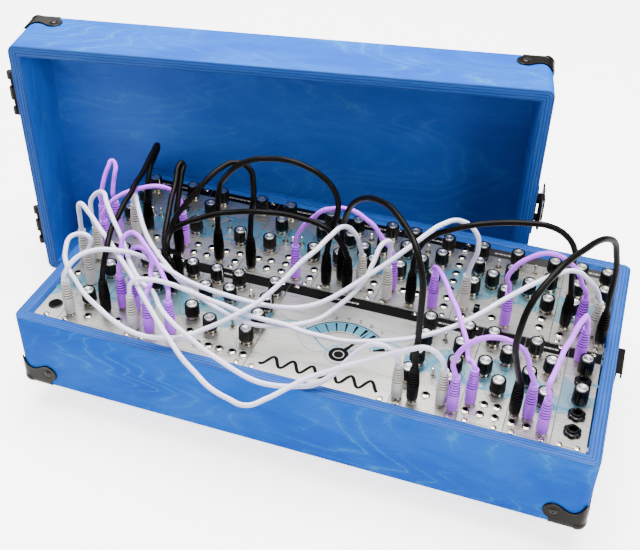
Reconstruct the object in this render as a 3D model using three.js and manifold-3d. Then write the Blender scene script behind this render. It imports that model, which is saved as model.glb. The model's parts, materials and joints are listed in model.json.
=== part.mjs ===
// Modular synthesizer: two rows of modules in an open plywood case, patched with cords, with
// the case's lift-off lid standing on its long side behind it. Lengths are in millimetres, +Z is up.
// The origin is on the surface, under the middle of case and lid together, with +X to the case's
// right and +Y to its back. A value ending in share or shares is a part of the size it follows.
import * as THREE from 'three';
import { mergeVertices } from 'three/addons/utils/BufferGeometryUtils.js';
import Module from 'manifold-3d';

const wasm = await Module();
wasm.setup();

// Clearances
const fitGap = 0.3; // between pieces that meet but stay separate
const overrun = 1; // how far a cut runs past the face that it opens
const embed = 0.4; // how far a detail is sunk into the piece that carries it
const ballGap = 0.2; // between the wood and the inside of a ball corner

// Place of the case's middle from the origin, which lies under the middle of case and lid
const caseAside = 54;
const caseForward = 43;

// Rack
const unitPitch = 5.08; // one panel unit of width
const rowUnits = 104;
const panelLength = 128.5;
const panelThickness = 2;
const panelSideGap = 0.3;
const rowGap = 1.5; // between the two rows of panels
const rackSideGap = 1.34; // between the panels and the side walls
const rackEndGap = 2.75; // between the panels and the front and back walls

// Case
const wall = 12; // plywood
const edgeRadius = 8;
const caseHeight = 84;
const floorThickness = 6;
const rimHeight = 4; // of the rim above the panels
const footHeight = 32;
const footRadius = 14;
const footSoleRadius = 12;
const footSideInset = 40.5;
const frontFootInset = 40;
const footLidGap = 5.6; // between the rear left foot and the lid's rim, which passes under the case

// Rails that the panels are screwed to
const railWidth = 12;
const railHeight = 12;
const slotWidth = 3;
const slotDepth = 5;
const screwEndInset = 3; // screw line, from a panel's end
const screwSideInset = 7.5;
const screwHeadRadius = 2.9;
const screwHeadHeight = 1.3;
const narrowUnits = 5; // panels this narrow have one screw at each end

// Circuit boards
const boardThickness = 1.6;
const boardDrop = 12; // board below the panel's underside
const boardSideInset = 4;
const boardEndInset = 14;
const spacerRadius = 4;
const headerLength = 20;
const headerWidth = 9;
const headerHeight = 9;

// Power supply board on the case's floor
const busLength = 430;
const busWidth = 60;
const busStandoff = 5;
const busStandoffRadius = 3;
const busStandoffInset = 8;
const busHeaders = 8; // in each of two rows
const busHeaderRowShare = 0.5; // distance between the two rows, of the board's width
const supplyLength = 60;
const supplyHeight = 16;
const supplyEndInset = 6;

// Controls
const knobHeight = 17.5;
const knobRadius = 7.3;
const knobTopRadius = 6.9;
const knobSkirtHeight = 3;
const nutRadius = 4;
const nutHeight = 2.2;
const jackBoreRadius = 1.9;
const jackBoreDepth = 2;
const toggleNutRadius = 3.2;
const toggleNutHeight = 1.6;
const leverFootRadius = 1.1;
const leverTipRadius = 1.6;
const leverHeight = 11;
const leverFootDepth = 0.6; // of the lever's foot below the panel's top
const leverBoreRadius = 1.95;
const leverBoreDepth = 1;
const shaftRadius = 3;
const socketDepthShare = 0.6; // of the knob's height
const knobLift = 0.5; // of a turning knob above its panel
const buttonWidth = 5.5;
const buttonLength = 6;
const buttonHeight = 9;
const buttonDepth = 8; // of its stem below the panel's top
const collarWall = 1.8;
const collarHeight = 2;
const bigNutRadius = 8;
const bigNutHeight = 5.5;
const bigBoreRadius = 3.25; // 6.35 mm jack
const bigBodyRadius = 6;
const bigBodyDepth = 26;
const bigBoreDepth = 24;
const flushSocketRadius = 7;
const flushSocketHeight = 0.8;

// Patch cords and their plugs
const cordRadius = 2.3;
const blackCordRadius = 2.8;
const cordStep = 13.8; // three diameters of the thinner cords
const bootGap = 0.2; // above the jack's nut
const bootRadius = 5.25;
const bootTopRadius = 4.3;
const bootHeight = 38.6;
const bootShoulderShare = 0.5; // of the boot's height

// Ball corners
const ballRadius = 9;
const ballInset = 6; // ball's centre from each of the three faces
const lobeRadius = 9.5;
const lobeAlong = 28; // lobe's centre from the corner, along the wall
const lobeRise = 17.5; // and from the outside of the wood's floor
const floorLobeInset = 16; // floor lobe's centre from the two near edges
const webRise = 20.5; // sheet between corner and lobe, from the outside of the floor
const hornWidth = 4;
const hornReach = 33; // along the edge between the two walls
const sheet = 1.5; // steel sheet
const lobeScrewRadius = 3.5;
const lobeScrewHeight = 1.2;

// Lid
const lidHeight = 78;
const lidBack = 4; // plywood
const lidTurnDegrees = 10.43; // about Z
const lidAlong = 163.8; // lid's middle from the case's rear left corner, along the lid
const cornerClearance = 3.7; // between that corner and the lid's back
const padThickness = 3;
const padWidth = 60;
const padLength = 480;
const padRimInset = 8;

// Lift-off hinges: brackets on the lid and hook plates on the case
const hingePitchShare = 0.597; // distance between the two hinges, of the case's depth
const hingeRise = 50;
const hingePlateWidth = 20;
const hingeRimInset = 3;
const knuckleRadius = 4;
const knuckleLength = 8;
const middleKnuckleLength = 14;
const knuckleRimInset = 8;
const hingeRodRadius = 1.6;
const hookPitch = 26;
const hookWidth = 6;
const hookPlateLength = 44;
const hookPlateHeight = 20;
const hookPlateDrop = 3; // below the rim
const hookMouth = 3.6;
const hookThickness = 2.4;
const hookLip = 7;

// Draw latch on the lid and its keeper on the case
const latchPlateRise = 57;
const latchPlateWidth = 30;
const latchRimInset = 6;
const earThickness = 2;
const earHalfGap = 9; // from the latch's middle to an ear
const earLength = 5.8;
const pivotRimInset = 11;
const pivotOut = 5.5; // from the lid's wall
const pinRadius = 1.5;
const pinClearance = 0.3;
const leverFlange = 1.6;
const leverFlangeHalfGap = 12;
const leverSheet = 1.5;
const leverOut = 9; // from the lid's wall to the lever's sheet
const leverLength = 26; // past the pivot
const leverWideRise = 34;
const leverNeckLength = 12; // of the narrow part, past the pivot
const loopPivotPast = 7.5; // loop's pivot past the lever's
const loopWireRadius = 1.3;
const loopArmHalfGap = 15.2;
const loopReach = 22; // loop's bar from its pivot
const keeperLength = 35;
const keeperHeight = 16;
const keeperDrop = 6; // below the rim
const keeperMouth = 3.4;
const keeperLip = 5;

// Counts of sides
const arcSteps = 4;
const knobSides = 8;
const nutSides = 6;
const turnedSides = 24;
const roundSides = 12;
const cordSides = 8;
const lobeSides = 8;
const ballSides = 8;
const ballRings = 6;

// Places worked out from the sizes above
const innerLength = rowUnits * unitPitch + 2 * rackSideGap;
const innerDepth = 2 * panelLength + rowGap + 2 * rackEndGap;
const caseLength = innerLength + 2 * wall;
const caseDepth = innerDepth + 2 * wall;
const caseBottom = footHeight;
const caseRim = caseBottom + caseHeight;
const floorTop = caseBottom + floorThickness;
const panelTop = caseRim - rimHeight;
const railTop = panelTop - panelThickness;
const lidTurn = THREE.MathUtils.degToRad(lidTurnDegrees);
const lidLift = padThickness + fitGap;
const latchMiddle = caseDepth / 2;
const hingePitch = caseDepth * hingePitchShare;

// Place of the lid, which the case's rear left corner stands inside, just clear of its back
const lidCornerDepth = lidHeight - lidBack - cornerClearance;
const lidX = -caseLength / 2 + lidAlong * Math.cos(lidTurn) + lidCornerDepth * Math.sin(lidTurn);
const lidY = caseDepth / 2 + lidAlong * Math.sin(lidTurn) - lidCornerDepth * Math.cos(lidTurn);

// Places of the feet
const footX = caseLength / 2 - footSideInset;
const frontFootY = -caseDepth / 2 + frontFootInset;
const rearFootY = lidY - Math.tan(lidTurn) * (footX + lidX) - (footRadius + footLidGap) / Math.cos(lidTurn);

// Modules from left to right. Shares are of the module's width and of its panel's length.
const rearModules = [
  {
    units: 15,
    knobShares: [[0.199, 0.827], [0.199, 0.625], [0.199, 0.352], [0.803, 0.835], [0.803, 0.625]],
    jackShares: [[0.343, 0.235], [0.737, 0.181]],
    patchedShares: [[0.068, 0.049], [0.199, 0.126], [0.461, 0.150], [0.566, 0.259]],
    toggleShares: [[0.448, 0.477], [0.566, 0.477]],
  },
  {
    units: 16,
    knobShares: [[0.258, 0.835], [0.221, 0.632], [0.196, 0.368], [0.836, 0.835], [0.836, 0.352]],
    jackShares: [[0.332, 0.204], [0.344, 0.095], [0.529, 0.204], [0.529, 0.095], [0.738, 0.196],
      [0.922, 0.204], [0.922, 0.095]],
    patchedShares: [[0.172, 0.173], [0.196, 0.041], [0.725, 0.072]],
    toggleShares: [[0.369, 0.484], [0.578, 0.500]],
  },
  {
    units: 16,
    knobShares: [[0.254, 0.835], [0.254, 0.617], [0.242, 0.352], [0.833, 0.835], [0.820, 0.632],
      [0.845, 0.352]],
    jackShares: [[0.181, 0.196], [0.353, 0.204], [0.353, 0.103], [0.550, 0.204], [0.550, 0.103],
      [0.537, 0.298], [0.931, 0.212], [0.931, 0.103]],
    patchedShares: [[0.168, 0.064], [0.759, 0.072]],
    toggleShares: [[0.377, 0.492], [0.488, 0.492], [0.599, 0.500]],
  },
  {
    units: 13,
    knobShares: [[0.263, 0.827], [0.248, 0.625], [0.233, 0.352], [0.551, 0.500], [0.778, 0.368],
      [0.824, 0.850], [0.793, 0.632]],
    jackShares: [[0.884, 0.103], [0.884, 0.212]],
    patchedShares: [[0.203, 0.064], [0.385, 0.165], [0.536, 0.064], [0.718, 0.134]],
    toggleShares: [[0.536, 0.757]],
  },
  {
    units: 15,
    knobShares: [[0.188, 0.842], [0.149, 0.640], [0.175, 0.368], [0.425, 0.500], [0.661, 0.842],
      [0.648, 0.632], [0.635, 0.375]],
    jackShares: [[0.307, 0.204], [0.490, 0.204], [0.884, 0.889], [0.884, 0.780], [0.884, 0.671],
      [0.884, 0.562], [0.884, 0.453], [0.884, 0.344], [0.884, 0.235], [0.884, 0.126]],
    patchedShares: [[0.136, 0.064], [0.149, 0.181], [0.451, 0.072], [0.740, 0.088]],
    toggleShares: [[0.412, 0.757]],
  },
  {
    units: 19,
    knobShares: [[0.116, 0.842], [0.126, 0.632], [0.136, 0.368], [0.302, 0.500], [0.468, 0.352],
      [0.478, 0.625], [0.489, 0.842], [0.685, 0.500], [0.882, 0.827], [0.882, 0.617], [0.903, 0.344]],
    jackShares: [[0.116, 0.064], [0.406, 0.119], [0.882, 0.235], [0.882, 0.134]],
    patchedShares: [[0.095, 0.165], [0.540, 0.072]],
    toggleShares: [[0.696, 0.772]],
    leverShares: [[0.312, 0.757]],
    buttonShares: [[0.240, 0.142]],
  },
  {
    units: 10,
    knobShares: [[0.308, 0.827], [0.308, 0.609], [0.308, 0.368], [0.820, 0.827], [0.820, 0.601],
      [0.820, 0.360]],
    jackShares: [[0.170, 0.095]],
    patchedShares: [[0.209, 0.204], [0.485, 0.196], [0.741, 0.189], [0.898, 0.103]],
  },
];

const frontModules = [
  {
    units: 5,
    jackShares: [[0.361, 0.539], [0.676, 0.422]],
    patchedShares: [[0.794, 0.874], [0.715, 0.772], [0.321, 0.695]],
    flushShares: [[0.518, 0.150]],
  },
  {
    units: 16,
    knobShares: [[0.219, 0.835], [0.219, 0.609], [0.231, 0.251], [0.538, 0.835], [0.858, 0.586],
      [0.883, 0.835]],
    jackShares: [[0.329, 0.103], [0.625, 0.679], [0.698, 0.134]],
    patchedShares: [[0.071, 0.461], [0.108, 0.095], [0.501, 0.196], [0.907, 0.726], [0.944, 0.095],
      [0.649, 0.290], [0.809, 0.290]],
  },
  {
    units: 22,
    knobShares: [[0.121, 0.842], [0.362, 0.835], [0.362, 0.617], [0.362, 0.368], [0.577, 0.835],
      [0.577, 0.648], [0.577, 0.274], [0.917, 0.842], [0.926, 0.640], [0.935, 0.446], [0.917, 0.251]],
    jackShares: [[0.416, 0.212], [0.532, 0.111], [0.640, 0.111], [0.738, 0.111], [0.854, 0.111],
      [0.953, 0.111]],
    patchedShares: [[0.058, 0.695], [0.058, 0.586], [0.103, 0.103], [0.282, 0.142]],
    toggleShares: [[0.738, 0.360], [0.738, 0.741]],
  },
  {
    units: 27,
    blank: true,
  },
  {
    units: 12,
    knobShares: [[0.190, 0.850], [0.206, 0.656], [0.190, 0.461], [0.157, 0.267], [0.797, 0.842],
      [0.764, 0.656], [0.764, 0.453], [0.747, 0.267]],
    jackShares: [[0.485, 0.165]],
    patchedShares: [[0.091, 0.080], [0.321, 0.080], [0.731, 0.119], [0.911, 0.088]],
    toggleShares: [[0.485, 0.360], [0.485, 0.749]],
  },
  {
    units: 8,
    knobShares: [[0.285, 0.842], [0.704, 0.679], [0.285, 0.516], [0.679, 0.352]],
    jackShares: [[0.138, 0.111], [0.458, 0.111], [0.778, 0.111], [0.482, 0.212], [0.778, 0.212]],
    patchedShares: [[0.187, 0.196]],
  },
  {
    units: 8,
    knobShares: [[0.270, 0.842], [0.688, 0.679], [0.270, 0.516], [0.688, 0.352]],
    jackShares: [[0.147, 0.103], [0.467, 0.103]],
    patchedShares: [[0.147, 0.189], [0.442, 0.189], [0.786, 0.088]],
  },
  {
    units: 6,
    turnedShares: [[0.568, 0.780], [0.568, 0.469]],
    patchedShares: [[0.339, 0.874]],
    bigShares: [[0.568, 0.656], [0.568, 0.321], [0.535, 0.158]],
  },
];

// Middle lines of the patch cords from inside one plug to inside the other, from the same middle
const cords = {
  white_cord_front: [
    [-256, -40, 150], [-255, -41, 169], [-252, -42, 187], [-236, -51, 184], [-221, -61, 178],
    [-205, -72, 174], [-187, -88, 173], [-174, -97, 168], [-161, -107, 163], [-147, -120, 161],
    [-134, -129, 153], [-120, -139, 146], [-105, -150, 141], [-90, -160, 135], [-74, -168, 130],
    [-57, -176, 125], [-39, -180, 122], [-21, -181, 120], [-6, -169, 122], [6, -156, 125],
    [20, -144, 131], [36, -137, 138], [52, -132, 146], [69, -129, 155], [85, -127, 165],
    [102, -125, 174], [119, -122, 180], [132, -117, 168], [136, -114, 150],
  ],
  white_cord_second: [
    [-246, -30, 150], [-247, -32, 169], [-246, -29, 186], [-234, -28, 196], [-221, -42, 194],
    [-207, -57, 189], [-196, -66, 180], [-186, -75, 171], [-173, -90, 166], [-160, -99, 158],
    [-144, -106, 154], [-129, -120, 149], [-113, -129, 144], [-96, -136, 140], [-79, -141, 134],
    [-62, -144, 128], [-44, -149, 125], [-25, -152, 122], [-7, -151, 121], [11, -146, 121],
    [28, -138, 122], [42, -129, 131], [52, -122, 145], [63, -121, 160], [77, -123, 172],
    [92, -121, 166], [97, -119, 150],
  ],
  white_cord_third: [
    [-230, -117, 150], [-225, -122, 166], [-218, -109, 177], [-206, -97, 180], [-188, -89, 179],
    [-172, -81, 173], [-156, -77, 165], [-137, -80, 161], [-119, -82, 156], [-101, -82, 152],
    [-82, -80, 148], [-64, -79, 146], [-45, -78, 145], [-26, -76, 146], [-8, -73, 149], [9, -67, 155],
    [23, -57, 162], [36, -46, 170], [49, -36, 179], [62, -25, 188], [74, -14, 197], [86, -4, 207],
    [98, 10, 213], [113, 22, 213], [129, 22, 203], [133, 19, 187], [129, 21, 168], [126, 22, 150],
  ],
  white_cord_loop: [
    [-233, -70, 150], [-230, -66, 167], [-244, -72, 171], [-243, -90, 166], [-234, -104, 159],
    [-221, -113, 152], [-205, -124, 147], [-189, -131, 143], [-172, -138, 139], [-155, -142, 135],
    [-137, -141, 131], [-119, -135, 129], [-103, -128, 130], [-88, -117, 134], [-73, -109, 141],
    [-59, -100, 149], [-46, -87, 155], [-36, -75, 163], [-27, -60, 171], [-19, -46, 179],
    [-9, -32, 186], [-1, -17, 193], [8, -1, 196], [17, 7, 184], [20, 13, 167], [22, 18, 150],
  ],
  white_cord_long: [
    [-162, -117, 150], [-159, -114, 168], [-143, -109, 171], [-126, -104, 167], [-109, -100, 160],
    [-91, -99, 155], [-73, -97, 150], [-55, -95, 144], [-37, -93, 141], [-18, -92, 140], [0, -92, 137],
    [19, -91, 136], [38, -90, 136], [56, -87, 138], [74, -83, 141], [92, -79, 145], [109, -73, 150],
    [125, -65, 155], [140, -55, 161], [153, -43, 166], [165, -30, 171], [178, -17, 176],
    [191, -5, 181], [206, 5, 187], [223, 11, 192], [236, 16, 182], [246, 22, 167], [251, 25, 150],
  ],
  white_cord_middle: [
    [-229, 20, 150], [-228, 17, 168], [-222, 13, 179], [-212, -2, 176], [-201, -17, 171],
    [-190, -31, 166], [-177, -45, 163], [-163, -57, 160], [-148, -68, 157], [-132, -77, 152],
    [-116, -84, 148], [-98, -90, 144], [-81, -94, 140], [-62, -97, 137], [-44, -96, 135],
    [-26, -91, 135], [-8, -84, 137], [8, -76, 141], [21, -64, 149], [32, -52, 158], [40, -38, 167],
    [44, -23, 178], [47, -8, 189], [52, 3, 187], [52, 7, 169], [51, 9, 150],
  ],
  black_cord_arch: [
    [-151, -40, 150], [-155, -50, 163], [-157, -39, 173], [-154, -31, 186], [-145, -27, 200],
    [-136, -22, 212], [-128, -12, 223], [-120, 1, 230], [-109, 13, 233], [-94, 15, 228], [-88, 9, 215],
    [-88, 8, 199], [-91, 10, 183], [-93, 11, 166], [-93, 9, 150],
  ],
  black_cord_high: [
    [-129, 10, 150], [-128, 10, 169], [-127, 10, 188], [-123, 10, 207], [-113, 6, 223], [-104, 4, 234],
    [-89, 8, 243], [-72, 10, 247], [-53, 9, 250], [-34, 9, 247], [-17, 9, 239], [-5, 9, 225],
    [-2, 10, 206], [-7, 11, 185], [-10, 10, 168], [-12, 9, 150],
  ],
  black_cord_centre: [
    [0, 22, 150], [-1, 23, 168], [2, 19, 187], [7, 12, 204], [13, 5, 218], [21, -5, 231],
    [30, -17, 243], [40, -29, 253], [51, -42, 261], [62, -56, 268], [73, -71, 272], [85, -85, 271],
    [96, -100, 269], [105, -112, 258], [110, -117, 241], [111, -119, 222], [111, -119, 203],
    [111, -118, 183], [110, -116, 165], [111, -119, 150],
  ],
  black_cord_wide: [
    [75, 10, 150], [76, 10, 168], [81, 11, 185], [92, 12, 198], [107, 12, 208], [123, 13, 216],
    [140, 17, 220], [158, 19, 224], [175, 21, 226], [193, 23, 226], [209, 25, 218], [219, 26, 203],
    [220, 28, 186], [222, 27, 168], [224, 27, 150],
  ],
  black_cord_right: [
    [199, -105, 150], [196, -110, 167], [193, -116, 185], [191, -121, 203], [192, -120, 222],
    [195, -112, 238], [202, -99, 251], [210, -84, 258], [218, -67, 260], [227, -50, 260],
    [235, -33, 258], [243, -17, 252], [250, -4, 241], [254, 4, 224], [257, 9, 206], [258, 12, 188],
    [258, 12, 169], [259, 14, 150],
  ],
  violet_cord_rear: [
    [-45, 10, 150], [-44, 10, 161], [-40, 11, 172], [-34, 13, 181], [-27, 14, 189], [-19, 14, 198],
    [-9, 15, 202], [2, 18, 203], [13, 19, 201], [22, 20, 195], [31, 21, 188], [37, 22, 179],
    [43, 23, 170], [50, 24, 161], [52, 24, 150],
  ],
  violet_cord_arch: [
    [147, -118, 150], [145, -118, 157], [143, -119, 166], [145, -118, 176], [149, -118, 185],
    [156, -116, 193], [164, -114, 198], [174, -113, 201], [184, -111, 199], [192, -109, 194],
    [199, -107, 187], [203, -107, 178], [205, -106, 168], [209, -105, 159], [211, -105, 150],
  ],
  violet_cord_right: [
    [225, -118, 150], [225, -121, 162], [223, -128, 172], [223, -131, 182], [225, -119, 183],
    [227, -107, 187], [229, -95, 191], [232, -83, 191], [234, -70, 190], [236, -58, 188],
    [239, -46, 186], [241, -35, 181], [242, -26, 172], [244, -19, 162], [244, -17, 150],
  ],
};

// Solids

const spread = (size) => [-size / 2, size / 2];

function solid(geometry) {
  geometry.deleteAttribute('normal');
  geometry.deleteAttribute('uv');
  const merged = mergeVertices(geometry);
  const kept = [];
  const index = merged.index.array;
  for (let i = 0; i < index.length; i += 3) {
    const [a, b, c] = [index[i], index[i + 1], index[i + 2]];
    if (a !== b && b !== c && c !== a) kept.push(a, b, c);
  }
  const vertProperties = new Float32Array(merged.attributes.position.array);
  const triVerts = new Uint32Array(kept);
  return new wasm.Manifold(new wasm.Mesh({ numProp: 3, vertProperties, triVerts }));
}

function join(...solids) {
  return solids.flat(Infinity).reduce((sum, next) => sum.add(next));
}

function block([left, right], [front, back], [low, high]) {
  const geometry = new THREE.BoxGeometry(right - left, back - front, high - low);
  geometry.translate((left + right) / 2, (front + back) / 2, (low + high) / 2);
  return solid(geometry);
}

// A rod along an axis from low to high; the other two places are in x, y, z order
function rod(axis, [first, second], [low, high], radius, sides, endRadius = radius) {
  const geometry = new THREE.CylinderGeometry(endRadius, radius, high - low, sides);
  const middle = (low + high) / 2;
  if (axis === 'x') geometry.rotateZ(-Math.PI / 2).translate(middle, first, second);
  if (axis === 'y') geometry.translate(first, middle, second);
  if (axis === 'z') geometry.rotateX(Math.PI / 2).translate(first, second, middle);
  return solid(geometry);
}

// An outline swept along an axis; its two directions are the other axes in x, y, z order
function swept(outline, axis, [low, high]) {
  const settings = { depth: high - low, bevelEnabled: false, curveSegments: arcSteps };
  const geometry = new THREE.ExtrudeGeometry(outline, settings);
  const [ex, ey, ez] = [0, 1, 2].map((i) => new THREE.Vector3().setComponent(i, 1));
  if (axis === 'x') geometry.applyMatrix4(new THREE.Matrix4().makeBasis(ey, ez, ex)).translate(low, 0, 0);
  if (axis === 'y') geometry.rotateX(Math.PI / 2).translate(0, high, 0);
  if (axis === 'z') geometry.translate(0, 0, low);
  return solid(geometry);
}

// A profile of [radius, height] points turned about Z, from the bottom of the axis to its top
function turned(profile, sides) {
  const points = profile.map(([radius, height]) => new THREE.Vector2(radius, height));
  return solid(new THREE.LatheGeometry(points, sides).rotateX(Math.PI / 2));
}

function outlineOf(points) {
  return new THREE.Shape(points.map(([u, v]) => new THREE.Vector2(u, v)));
}

// A rectangle with round corners
function roundedOutline([left, right], [low, high], radius) {
  const outline = new THREE.Shape();
  outline.absarc(right - radius, high - radius, radius, 0, Math.PI / 2);
  outline.absarc(left + radius, high - radius, radius, Math.PI / 2, Math.PI);
  outline.absarc(left + radius, low + radius, radius, Math.PI, (3 * Math.PI) / 2);
  outline.absarc(right - radius, low + radius, radius, (3 * Math.PI) / 2, 2 * Math.PI);
  return outline;
}

// Finishes

function finish(color, roughness, metalness) {
  return new THREE.MeshStandardMaterial({ color, roughness, metalness });
}

const finishes = {
  plywood: finish('#5f97dc', 0.55, 0),
  panel: finish('#b9bcc0', 0.4, 0.6),
  bare: finish('#c9ccd0', 0.35, 0.8),
  blackSteel: finish('#2b2624', 0.4, 0.7),
  rubber: finish('#1c1c1d', 0.85, 0),
  board: finish('#22583a', 0.6, 0),
  knob: finish('#26272a', 0.5, 0),
  button: finish('#232325', 0.45, 0),
  whiteCord: finish('#eeeae2', 0.5, 0),
  blackCord: finish('#1f2022', 0.55, 0),
  violetCord: finish('#b08bea', 0.5, 0),
};

// The assembly: everything is placed from the middle of the case, on the surface

const assembly = new THREE.Group();
const synthesizer = new THREE.Group();
const lid = new THREE.Group();
synthesizer.position.set(caseAside, -caseForward, 0);
assembly.add(synthesizer);

function addPiece(group, name, body, material, place = [0, 0, 0]) {
  const { vertProperties, triVerts } = body.getMesh();
  const geometry = new THREE.BufferGeometry();
  geometry.setAttribute('position', new THREE.BufferAttribute(vertProperties, 3));
  geometry.setIndex(new THREE.BufferAttribute(triVerts, 1));
  geometry.computeVertexNormals();
  const mesh = new THREE.Mesh(geometry, material);
  mesh.name = name;
  mesh.position.set(...place);
  group.add(mesh);
}

// Case: an open plywood tray, glued

function trayWood(grown) {
  const length = caseLength + 2 * grown;
  const depth = caseDepth + 2 * grown;
  const outline = roundedOutline(spread(length), spread(depth), edgeRadius + grown);
  return swept(outline, 'z', [caseBottom - grown, caseRim]);
}

function caseBox() {
  const inside = block(spread(innerLength), spread(innerDepth), [floorTop, caseRim + overrun]);
  return trayWood(0).subtract(inside);
}

function foot() {
  return rod('z', [0, 0], [0, footHeight], footSoleRadius, roundSides, footRadius);
}

// A rail with a slot along each line of panel screws, the slots given from the rail's middle
function rail(width, slotPlaces) {
  const body = block(spread(innerLength), spread(width), [-railHeight, 0]);
  const slots = slotPlaces.map((place) => {
    const sides = [place - slotWidth / 2, place + slotWidth / 2];
    return block([-innerLength / 2 - overrun, innerLength / 2 + overrun], sides, [-slotDepth, overrun]);
  });
  return slots.reduce((sum, slot) => sum.subtract(slot), body);
}

function powerBoard() {
  const boardLow = busStandoff;
  const boardTop = boardLow + boardThickness;
  const board = block(spread(busLength), spread(busWidth), [boardLow, boardTop]);
  const alongs = spread(busLength - 2 * busStandoffInset);
  const acrosses = spread(busWidth - 2 * busStandoffInset);
  const feet = alongs.flatMap((x) => acrosses.map((y) => (
    rod('z', [x, y], [0, boardLow + embed], busStandoffRadius, nutSides))));
  const supplyRight = -busLength / 2 + supplyEndInset + supplyLength;
  const supplySides = spread(busWidth - 2 * supplyEndInset);
  const supply = block([supplyRight - supplyLength, supplyRight], supplySides,
    [boardTop - embed, boardTop + supplyHeight]);
  const room = busLength / 2 - supplyRight;
  const headers = [];
  for (let i = 0; i < busHeaders; i += 1) {
    const x = supplyRight + (room * (2 * i + 1)) / (2 * busHeaders);
    for (const y of spread(busWidth * busHeaderRowShare)) {
      headers.push(block([x - headerLength / 2, x + headerLength / 2],
        [y - headerWidth / 2, y + headerWidth / 2], [boardTop - embed, boardTop + headerHeight]));
    }
  }
  return join(board, feet, supply, headers);
}

// Modules: a panel with its controls on top and its circuit board below. The local origin is
// at the panel's front left corner, on its top face.

const jackProfile = [
  [0, -embed], [nutRadius, -embed], [nutRadius, nutHeight], [jackBoreRadius, nutHeight],
  [jackBoreRadius, nutHeight - jackBoreDepth], [0, nutHeight - jackBoreDepth],
];
const patchedProfile = [[0, -embed], [nutRadius, -embed], [nutRadius, nutHeight], [0, nutHeight]];
const knobProfile = [[0, -embed], [knobRadius, -embed], [knobTopRadius, knobHeight], [0, knobHeight]];
const toggleProfile = [
  [0, -embed], [toggleNutRadius, -embed], [toggleNutRadius, toggleNutHeight],
  [leverFootRadius, toggleNutHeight], [leverTipRadius, leverHeight], [0, leverHeight],
];

function screwPlaces(width, units) {
  const acrosses = units > narrowUnits ? [screwSideInset, width - screwSideInset] : [width / 2];
  const alongs = [screwEndInset, panelLength - screwEndInset];
  return acrosses.flatMap((x) => alongs.map((y) => [x, y]));
}

function moduleBoard(width) {
  const top = -panelThickness - boardDrop;
  const low = top - boardThickness;
  const sides = [boardSideInset, width - boardSideInset];
  const board = block(sides, [boardEndInset, panelLength - boardEndInset], [low, top]);
  const spacers = [boardEndInset + spacerRadius, panelLength - boardEndInset - spacerRadius]
    .map((y) => rod('z', [width / 2, y], [top - embed, -panelThickness + embed], spacerRadius, nutSides));
  const headerEnd = Math.min(headerLength, width - 2 * boardSideInset) / 2;
  const header = block([width / 2 - headerEnd, width / 2 + headerEnd],
    [(panelLength - headerWidth) / 2, (panelLength + headerWidth) / 2], [low - headerHeight, low + embed]);
  return [board, ...spacers, header];
}

function bigJack(x, y) {
  const nut = rod('z', [x, y], [-embed, bigNutHeight], bigNutRadius, roundSides);
  const body = rod('z', [x, y], [-bigBodyDepth, 0], bigBodyRadius, roundSides);
  return [nut, body];
}

function moduleBody(spec) {
  const width = spec.units * unitPitch - panelSideGap;
  const places = (shares = []) => shares.map(([across, along]) => (
    [across * spec.units * unitPitch - panelSideGap / 2, along * panelLength]));
  const set = (profile, shares, sides) => places(shares).map(([x, y]) => (
    turned(profile, sides).translate(x, y, 0)));
  const pieces = [
    block([0, width], [0, panelLength], [-panelThickness, 0]),
    ...screwPlaces(width, spec.units).map((place) => (
      rod('z', place, [-embed, screwHeadHeight], screwHeadRadius, nutSides))),
    ...set(knobProfile, spec.knobShares, knobSides),
    ...set(jackProfile, spec.jackShares, nutSides),
    ...set(patchedProfile, spec.patchedShares, nutSides),
    ...set(toggleProfile, spec.toggleShares, nutSides),
  ];
  if (!spec.blank) pieces.push(...moduleBoard(width));
  const cuts = [];
  for (const [x, y] of places(spec.bigShares)) {
    pieces.push(...bigJack(x, y));
    cuts.push(rod('z', [x, y], [-bigBoreDepth, bigNutHeight + overrun], bigBoreRadius, roundSides));
  }
  for (const place of places(spec.flushShares)) {
    pieces.push(rod('z', place, [-embed, flushSocketHeight], flushSocketRadius, roundSides));
  }
  for (const place of places(spec.turnedShares)) {
    pieces.push(rod('z', place, [-embed, knobHeight * socketDepthShare - fitGap], shaftRadius, roundSides));
  }
  for (const place of places(spec.leverShares)) {
    pieces.push(rod('z', place, [-embed, toggleNutHeight], toggleNutRadius, nutSides));
    cuts.push(rod('z', place, [-leverBoreDepth, toggleNutHeight + overrun], leverBoreRadius, roundSides));
  }
  for (const [x, y] of places(spec.buttonShares)) {
    const across = buttonWidth / 2 + fitGap;
    const along = buttonLength / 2 + fitGap;
    pieces.push(block([x - across - collarWall, x + across + collarWall],
      [y - along - collarWall, y + along + collarWall], [-embed, collarHeight]));
    cuts.push(block([x - across, x + across], [y - along, y + along],
      [-panelThickness - overrun, collarHeight + overrun]));
  }
  return cuts.reduce((sum, cut) => sum.subtract(cut), join(pieces));
}

// Controls that move by themselves, each with its origin on its panel's top face

function turningKnob() {
  const socketTop = knobHeight * socketDepthShare;
  const boreRadius = shaftRadius + fitGap;
  return turned([
    [0, socketTop], [boreRadius, socketTop], [boreRadius, knobLift], [knobRadius, knobLift],
    [knobRadius, knobSkirtHeight], [knobTopRadius, knobHeight], [0, knobHeight],
  ], turnedSides);
}

function triggerButton() {
  return block(spread(buttonWidth), spread(buttonLength), [-buttonDepth, buttonHeight]);
}

function toggleLever() {
  return rod('z', [0, 0], [-leverFootDepth, leverHeight], leverFootRadius, roundSides, leverTipRadius);
}

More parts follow.
